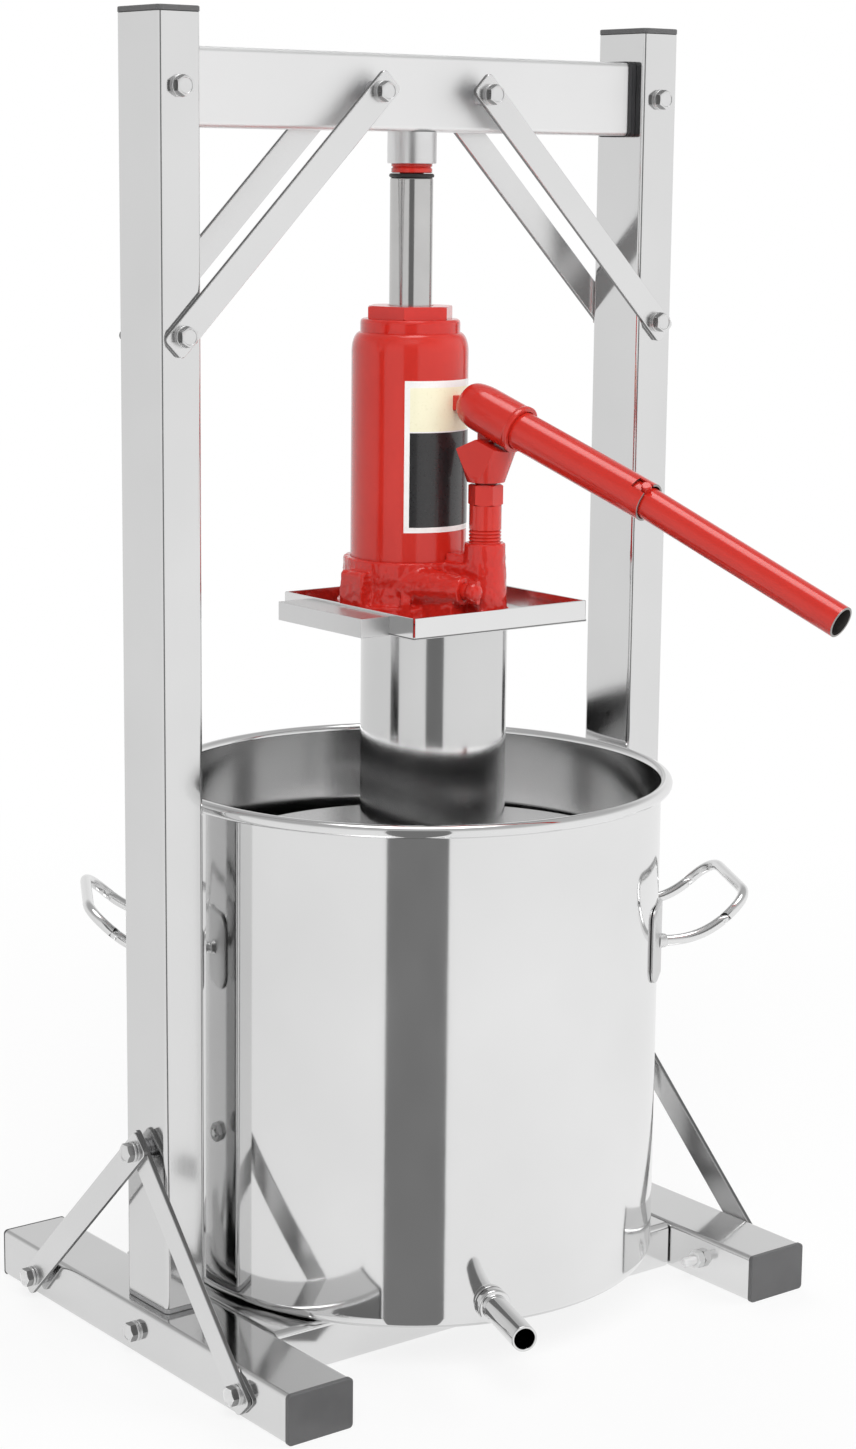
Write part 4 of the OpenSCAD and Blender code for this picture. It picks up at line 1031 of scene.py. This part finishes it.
# Tray, column and plate: the jack stands in a folded sheet tray with open corners and a hooded
# grip. A welded pipe carries the force from the tray down to the round press plate.
steel_round = polished("stainless polished round", (700, 700, 40), 0.07, 0.00002)
steel_pipe = polished("stainless pipe", (700, 700, 40), 0.10, 0.00008, 0.67)
satin = polished("satin stainless", (6, 900, 900), 0.40, 0.00003, 0.74)
edge_area = 60e-6
tray = piece("jack_tray_folded", softened("jack_tray", 0.35), steel_x, stainless, "jack_tray")
# The tray's narrow side faces get the dark edge finish: a duller cut plus painted shade along its edges.
second_finish(tray, sheared_and_shaded, lambda face: abs(face.normal.z) < 0.3 and face.area < edge_area)
piece("tray_grip_folded", softened("tray_grip", 0.35), satin, stainless, "tray_grip")
PRESS = shift(11.31, -11.31, 0)
plate_r = 134.5
plate_low = 269
plate_top = 275
tray_under = 417.4
column_r = 43.5
column_bore = 41.5
weld_r = 45
column = eased([
    (column_bore, plate_top, 0), (weld_r, plate_top + 0.05, 0.4), (column_r, plate_top + 2.6, 0.8),
    (column_r, tray_under - 2.4, 0.8), (weld_r, tray_under, 0.4), (column_bore, tray_under, 0),
])
column = placed(turned(column, 128), PRESS)
piece("press_column_welded", column, steel_pipe, stainless, "press_column")
disc = eased([(0, plate_low, 0), (plate_r, plate_low, 1.0), (plate_r, plate_top, 1.0), (0, plate_top, 0)])
plate = placed(turned(disc, 192), PRESS)
piece("press_plate_turned", plate, steel_round, stainless, "press_plate")

# Barrel: a deep-drawn stainless vessel with a rounded bottom edge and a rolled rim, polished
# bright outside and left a little duller inside, where a darker tone is painted on as shade.
barrel_x = 2
barrel_y = -6
BARREL = shift(barrel_x, barrel_y, 0)
barrel_low = 29
barrel_top = 325
floor_top = 31
wall_in = 146.5
rim_r = 3.8
bend_r = 140
bend_out = 8
bend_in = wall_in - bend_r
wall = arc(bend_r, barrel_low + bend_out, bend_out, bend_out, -90, 0, 8)
wall += arc(wall_in + rim_r, barrel_top - rim_r, rim_r, rim_r, -140, 180, 24)
wall.append((wall_in, barrel_low + bend_out))
wall += arc(bend_r, floor_top + bend_in, bend_in, bend_in, -11.25, -90, 7)
vessel = placed(turned([(0, barrel_low)] + wall + [(0, floor_top)], 256), BARREL)
obj = piece("barrel_drawn", vessel, steel_round, stainless, "barrel")
# Inside the barrel: rougher, and toned darker than the outside; the darker tone is painted shade.
steel_inside_painted_darker = polished("stainless inside the barrel", (500, 500, 25), 0.15, 0.00012, 0.66)


def is_inside(face):
    """On the wall's inner face below the rim, or on the floor's upper face."""
    z = face.center.z
    across = face.center - Vector((barrel_x / 1000, barrel_y / 1000, z))
    below_rim = z < 0.3195
    on_floor = 0.0305 < z < 0.032
    return face.normal.dot(across) < 0 and below_rim or on_floor


second_finish(obj, steel_inside_painted_darker, is_inside)

# Handles: bent stainless wire held in small bosses on curved plates that are spot-welded to the
# barrel, one pair of plates to each handle.
sweep_tree, (path_in, radius_in, finish_in) = new_tree(
    "wire along path", Geometry="Geometry", Radius="Float", Finish="Material")
put = Shade(sweep_tree)
path = put.node("GeometryNodeMeshToCurve", None, {"Mesh": path_in})
circle = put.node("GeometryNodeCurvePrimitiveCircle", None, {"Resolution": 24, "Radius": radius_in})
wire = put.node("GeometryNodeCurveToMesh", None, {
    "Curve": path, "Profile Curve": circle, "Fill Caps": True,
})
close_tree(sweep_tree, wire, finish_in)


def bent(corners, steps=14):
    """Polyline with its inner corners of (x, y, z, ease) rounded."""
    path = [Vector(corners[0][:3])]
    for before, here, after in zip(corners, corners[1:], corners[2:]):
        b = Vector(here[:3])
        first = b + (Vector(before[:3]) - b).normalized() * here[3]
        last = b + (Vector(after[:3]) - b).normalized() * here[3]
        path += curve(first, b, last, steps)
    path.append(Vector(corners[-1][:3]))
    return path


wire_r = 3.2
grip_x = 196
grip_z = 254
hold_y = 47
hold_z = 228
bend = 20
bracket_out = 150.03
bracket_in = 148.03
bracket_turn = 18.5
chord = math.sqrt(bracket_out ** 2 - hold_y ** 2)
arm = [(chord + 0.3, hold_y, hold_z, 0), (167, hold_y, hold_z, bend), (grip_x, hold_y, grip_z, bend)]
points = bent([(x, -y, z, ease) for x, y, z, ease in arm] + arm[::-1])
edges = [(i, i + 1) for i in range(len(points) - 1)]
steps = [(0.001, bracket_out)] + [(k / 8, bracket_out) for k in range(1, 8)]
steps += [(0.96, bracket_out), (1, 149.1), (1, bracket_in)] + [(k / 8, bracket_in) for k in (6, 4, 2)]
boss = turned(eased([(3.1, 0, 0), (4.6, 0, 0), (4, 4, 0.9), (3.1, 5, 0.4)], 4), 48)
brackets = []
bosses = []
for node, turn in (("right_handle", -29.4), ("left_handle", 150.6)):
    there = BARREL @ spin(turn, "Z")
    base = meshed("wire path", (points, []), edges)
    grip = baked(base, sweep_tree, {"Radius": wire_r / 1000, "Finish": steel_x})
    piece(node + "_wire", placed(grip, there), steel_x, stainless, node)
    for side in (-1, 1):
        rings = []
        for share, r in steps:
            ring = []
            for x, y in round_rect(40, 46, 9, 8):
                a = x * share / 149 + math.radians(bracket_turn * side)
                ring.append((r * math.cos(a), r * math.sin(a), hold_z + y * share))
            rings.append(ring)
        brackets.append(placed(flipped(skin(rings, caps=True)), there))
        bosses.append(placed(boss, there @ (shift(chord - 1, hold_y * side, hold_z) @ ALONG_X)))
piece("handle_plates_pressed", joined(*brackets), satin, stainless, "handle_brackets")
piece("handle_bosses_turned", joined(*bosses), bolt_steel, "plain_steel", "handle_bosses")

# Spout: a short stainless pipe through the barrel's wall just above its floor, with a beaded
# collar where it is welded in. The juice runs out here.
spout_r = 7.5
spout_bore = 6
spout_start = 146.6
spout_end = 202
bead_r = 10
spout = eased([
    (spout_bore, spout_start, 0), (spout_r, spout_start, 0), (spout_r, 148.5, 0), (bead_r, 148.5, 0.8),
    (bead_r, 154, 2.2), (spout_r, 154.3, 0.5), (spout_r, spout_end, 0.5), (spout_bore, spout_end, 0.5),
])
there = BARREL @ spin(-109, "Z") @ shift(0, 0, 44) @ ALONG_X
piece("spout_pipe", placed(turned(spout, 64), there), steel_round, stainless, "spout")

# Stage: a pale floor that keeps a soft shadow, a white surround with a bright patch overhead that
# only reflections see, large soft lamps, and a dark strip beside the camera's line that only shows
# as the dark bar in the polished barrel.


def unlit(name):
    """A material without a surface, its shading and its output node."""
    material = bpy.data.materials.new(name)
    material.use_nodes = True
    nodes = material.node_tree.nodes
    nodes.remove(nodes["Principled BSDF"])
    return material, Shade(material.node_tree), nodes["Material Output"]


def ray_kinds(shade):
    """1 for a ray from the camera, for one from a mirror and for one that came through glass."""
    camera_ray = shade.node("ShaderNodeLightPath", output="Is Camera Ray")
    return camera_ray, camera_ray.other("Is Glossy Ray"), camera_ray.other("Is Transmission Ray")


def soft_step(value, start, end, low, high):
    return value.node("ShaderNodeMapRange", {"interpolation_type": "SMOOTHSTEP"}, {
        0: value, 1: start, 2: end, 3: low, 4: high,
    })


def to_bright_side(way):
    """How much a direction points to the brighter side of the room."""
    bright = (0.61, -0.79, 0)
    return way.node("ShaderNodeVectorMath", {"operation": "DOT_PRODUCT"}, {0: way, 1: bright}, "Value")


half = 40000
floor = meshed("floor", (lifted(oblong(-half, half, -half, half), 0), [(0, 1, 2, 3)]))
pale, shade, output = unlit("pale floor")
camera_ray, glossy, through_glass = ray_kinds(shade)
seen = shade.math("MAXIMUM", camera_ray, shade.math("MAXIMUM", glossy, through_glass))
paper = shade.node("ShaderNodeBsdfDiffuse", None, {"Color": grey(0.88)})
spot = shade.node("ShaderNodeTexCoord", output="Object")
side = to_bright_side(shade.node("ShaderNodeVectorMath", {"operation": "NORMALIZE"}, {0: spot}))
level = 1.0 + glossy * (side * 0.06 - 0.10)
glow = shade.node("ShaderNodeEmission", None, {"Color": grey(1), "Strength": level})
away = shade.node("ShaderNodeVectorMath", {"operation": "LENGTH"}, {0: spot}, "Value")
clear = soft_step(away, 0.3, 1.4, 0.82, 1.0)
mixed = shade.node("ShaderNodeMixShader", None, {0: seen * clear, 1: paper, 2: glow})
shade.feed(output, {"Surface": mixed})
floor.data.materials.append(pale)
world = bpy.data.worlds.new("studio")
bpy.context.scene.world = world
world.use_nodes = True
shade = Shade(world.node_tree)
camera_ray, glossy, through_glass = ray_kinds(shade)
toward = shade.node("ShaderNodeTexCoord", output="Generated")
up = shade.node("ShaderNodeSeparateXYZ", None, {0: toward}, "Z")
dusk = soft_step(up, 0.16, 0.66, 0.0, 0.42)
softbox = soft_step(up, 0.92, 0.985, 0.0, 4.0)
mirror = 0.89 + to_bright_side(toward) * 0.06 - dusk + softbox
other_rays = 1.0 - camera_ray - glossy - through_glass
level = camera_ray + glossy * mirror + through_glass + other_rays * 0.38
shade.feed(world.node_tree.nodes["Background"], {"Color": grey(1), "Strength": level})
lamp_aim = Vector((0, 0, 0.35))
for name, place, power in (
    ("key lamp", (-1.6, -2.2, 3.0), 88),
    ("fill lamp", (2.4, -1.6, 2.4), 44),
    ("rim lamp", (0.8, 2.6, 2.8), 36),
):
    lamp = bpy.data.lights.new(name, "AREA")
    lamp.shape = "DISK"
    lamp.size = 2.4
    lamp.energy = power
    obj = added(name, lamp)
    obj.location = place
    obj.rotation_euler = (lamp_aim - Vector(place)).to_track_quat("-Z", "Y").to_euler()
    obj.visible_glossy = False
near_a = Vector((-99.4, -113.8, 1))
near_b = Vector((-71.6, -134.4, 1))
strip_length = Vector((6000, 0, 0))
strip_height = Vector((0, 0, 4000))
far_a = near_a + spin(-139.6, "Z") @ strip_length
far_b = near_b + spin(-111.5, "Z") @ strip_length
corners = [near_a, far_a, far_b, near_b, far_a + strip_height, far_b + strip_height]
strip = meshed("dark strip", (corners, [(0, 1, 2, 3), (1, 4, 5, 2)]))
cloth, shade, output = unlit("dark cloth")
weave = shade.noise(shade.node("ShaderNodeTexCoord", output="Object"), 4.0)
glow = shade.node("ShaderNodeEmission", None, {"Color": grey(1), "Strength": 0.17 + weave * 0.06})
shade.feed(output, {"Surface": glow})
strip.data.materials.append(cloth)
for rays in ("camera", "diffuse", "shadow", "transmission"):
    setattr(strip, "visible_" + rays, False)

# Camera: at the photo's angle, a little above the barrel and to its front left, with the lens
# and the small roll found from the tubes' edges in the photo.
yaw = -37.7
pitch = -10.87
roll = 0.63
sensor = 36
focal_pixels = 2908.5
picture_pixels = 1449
lens = bpy.data.cameras.new("photo camera")
lens.sensor_fit = "VERTICAL"
lens.sensor_height = sensor
lens.lens = sensor * focal_pixels / picture_pixels
camera = added("photo camera", lens)
aimed = spin(yaw, "Z") @ spin(90 + pitch, "X") @ spin(roll, "Z")
camera.matrix_world = shift(-1.0354, -1.3607, 0.68025) @ aimed
bpy.context.scene.camera = camera
bpy.context.scene.view_settings.view_transform = "Standard"
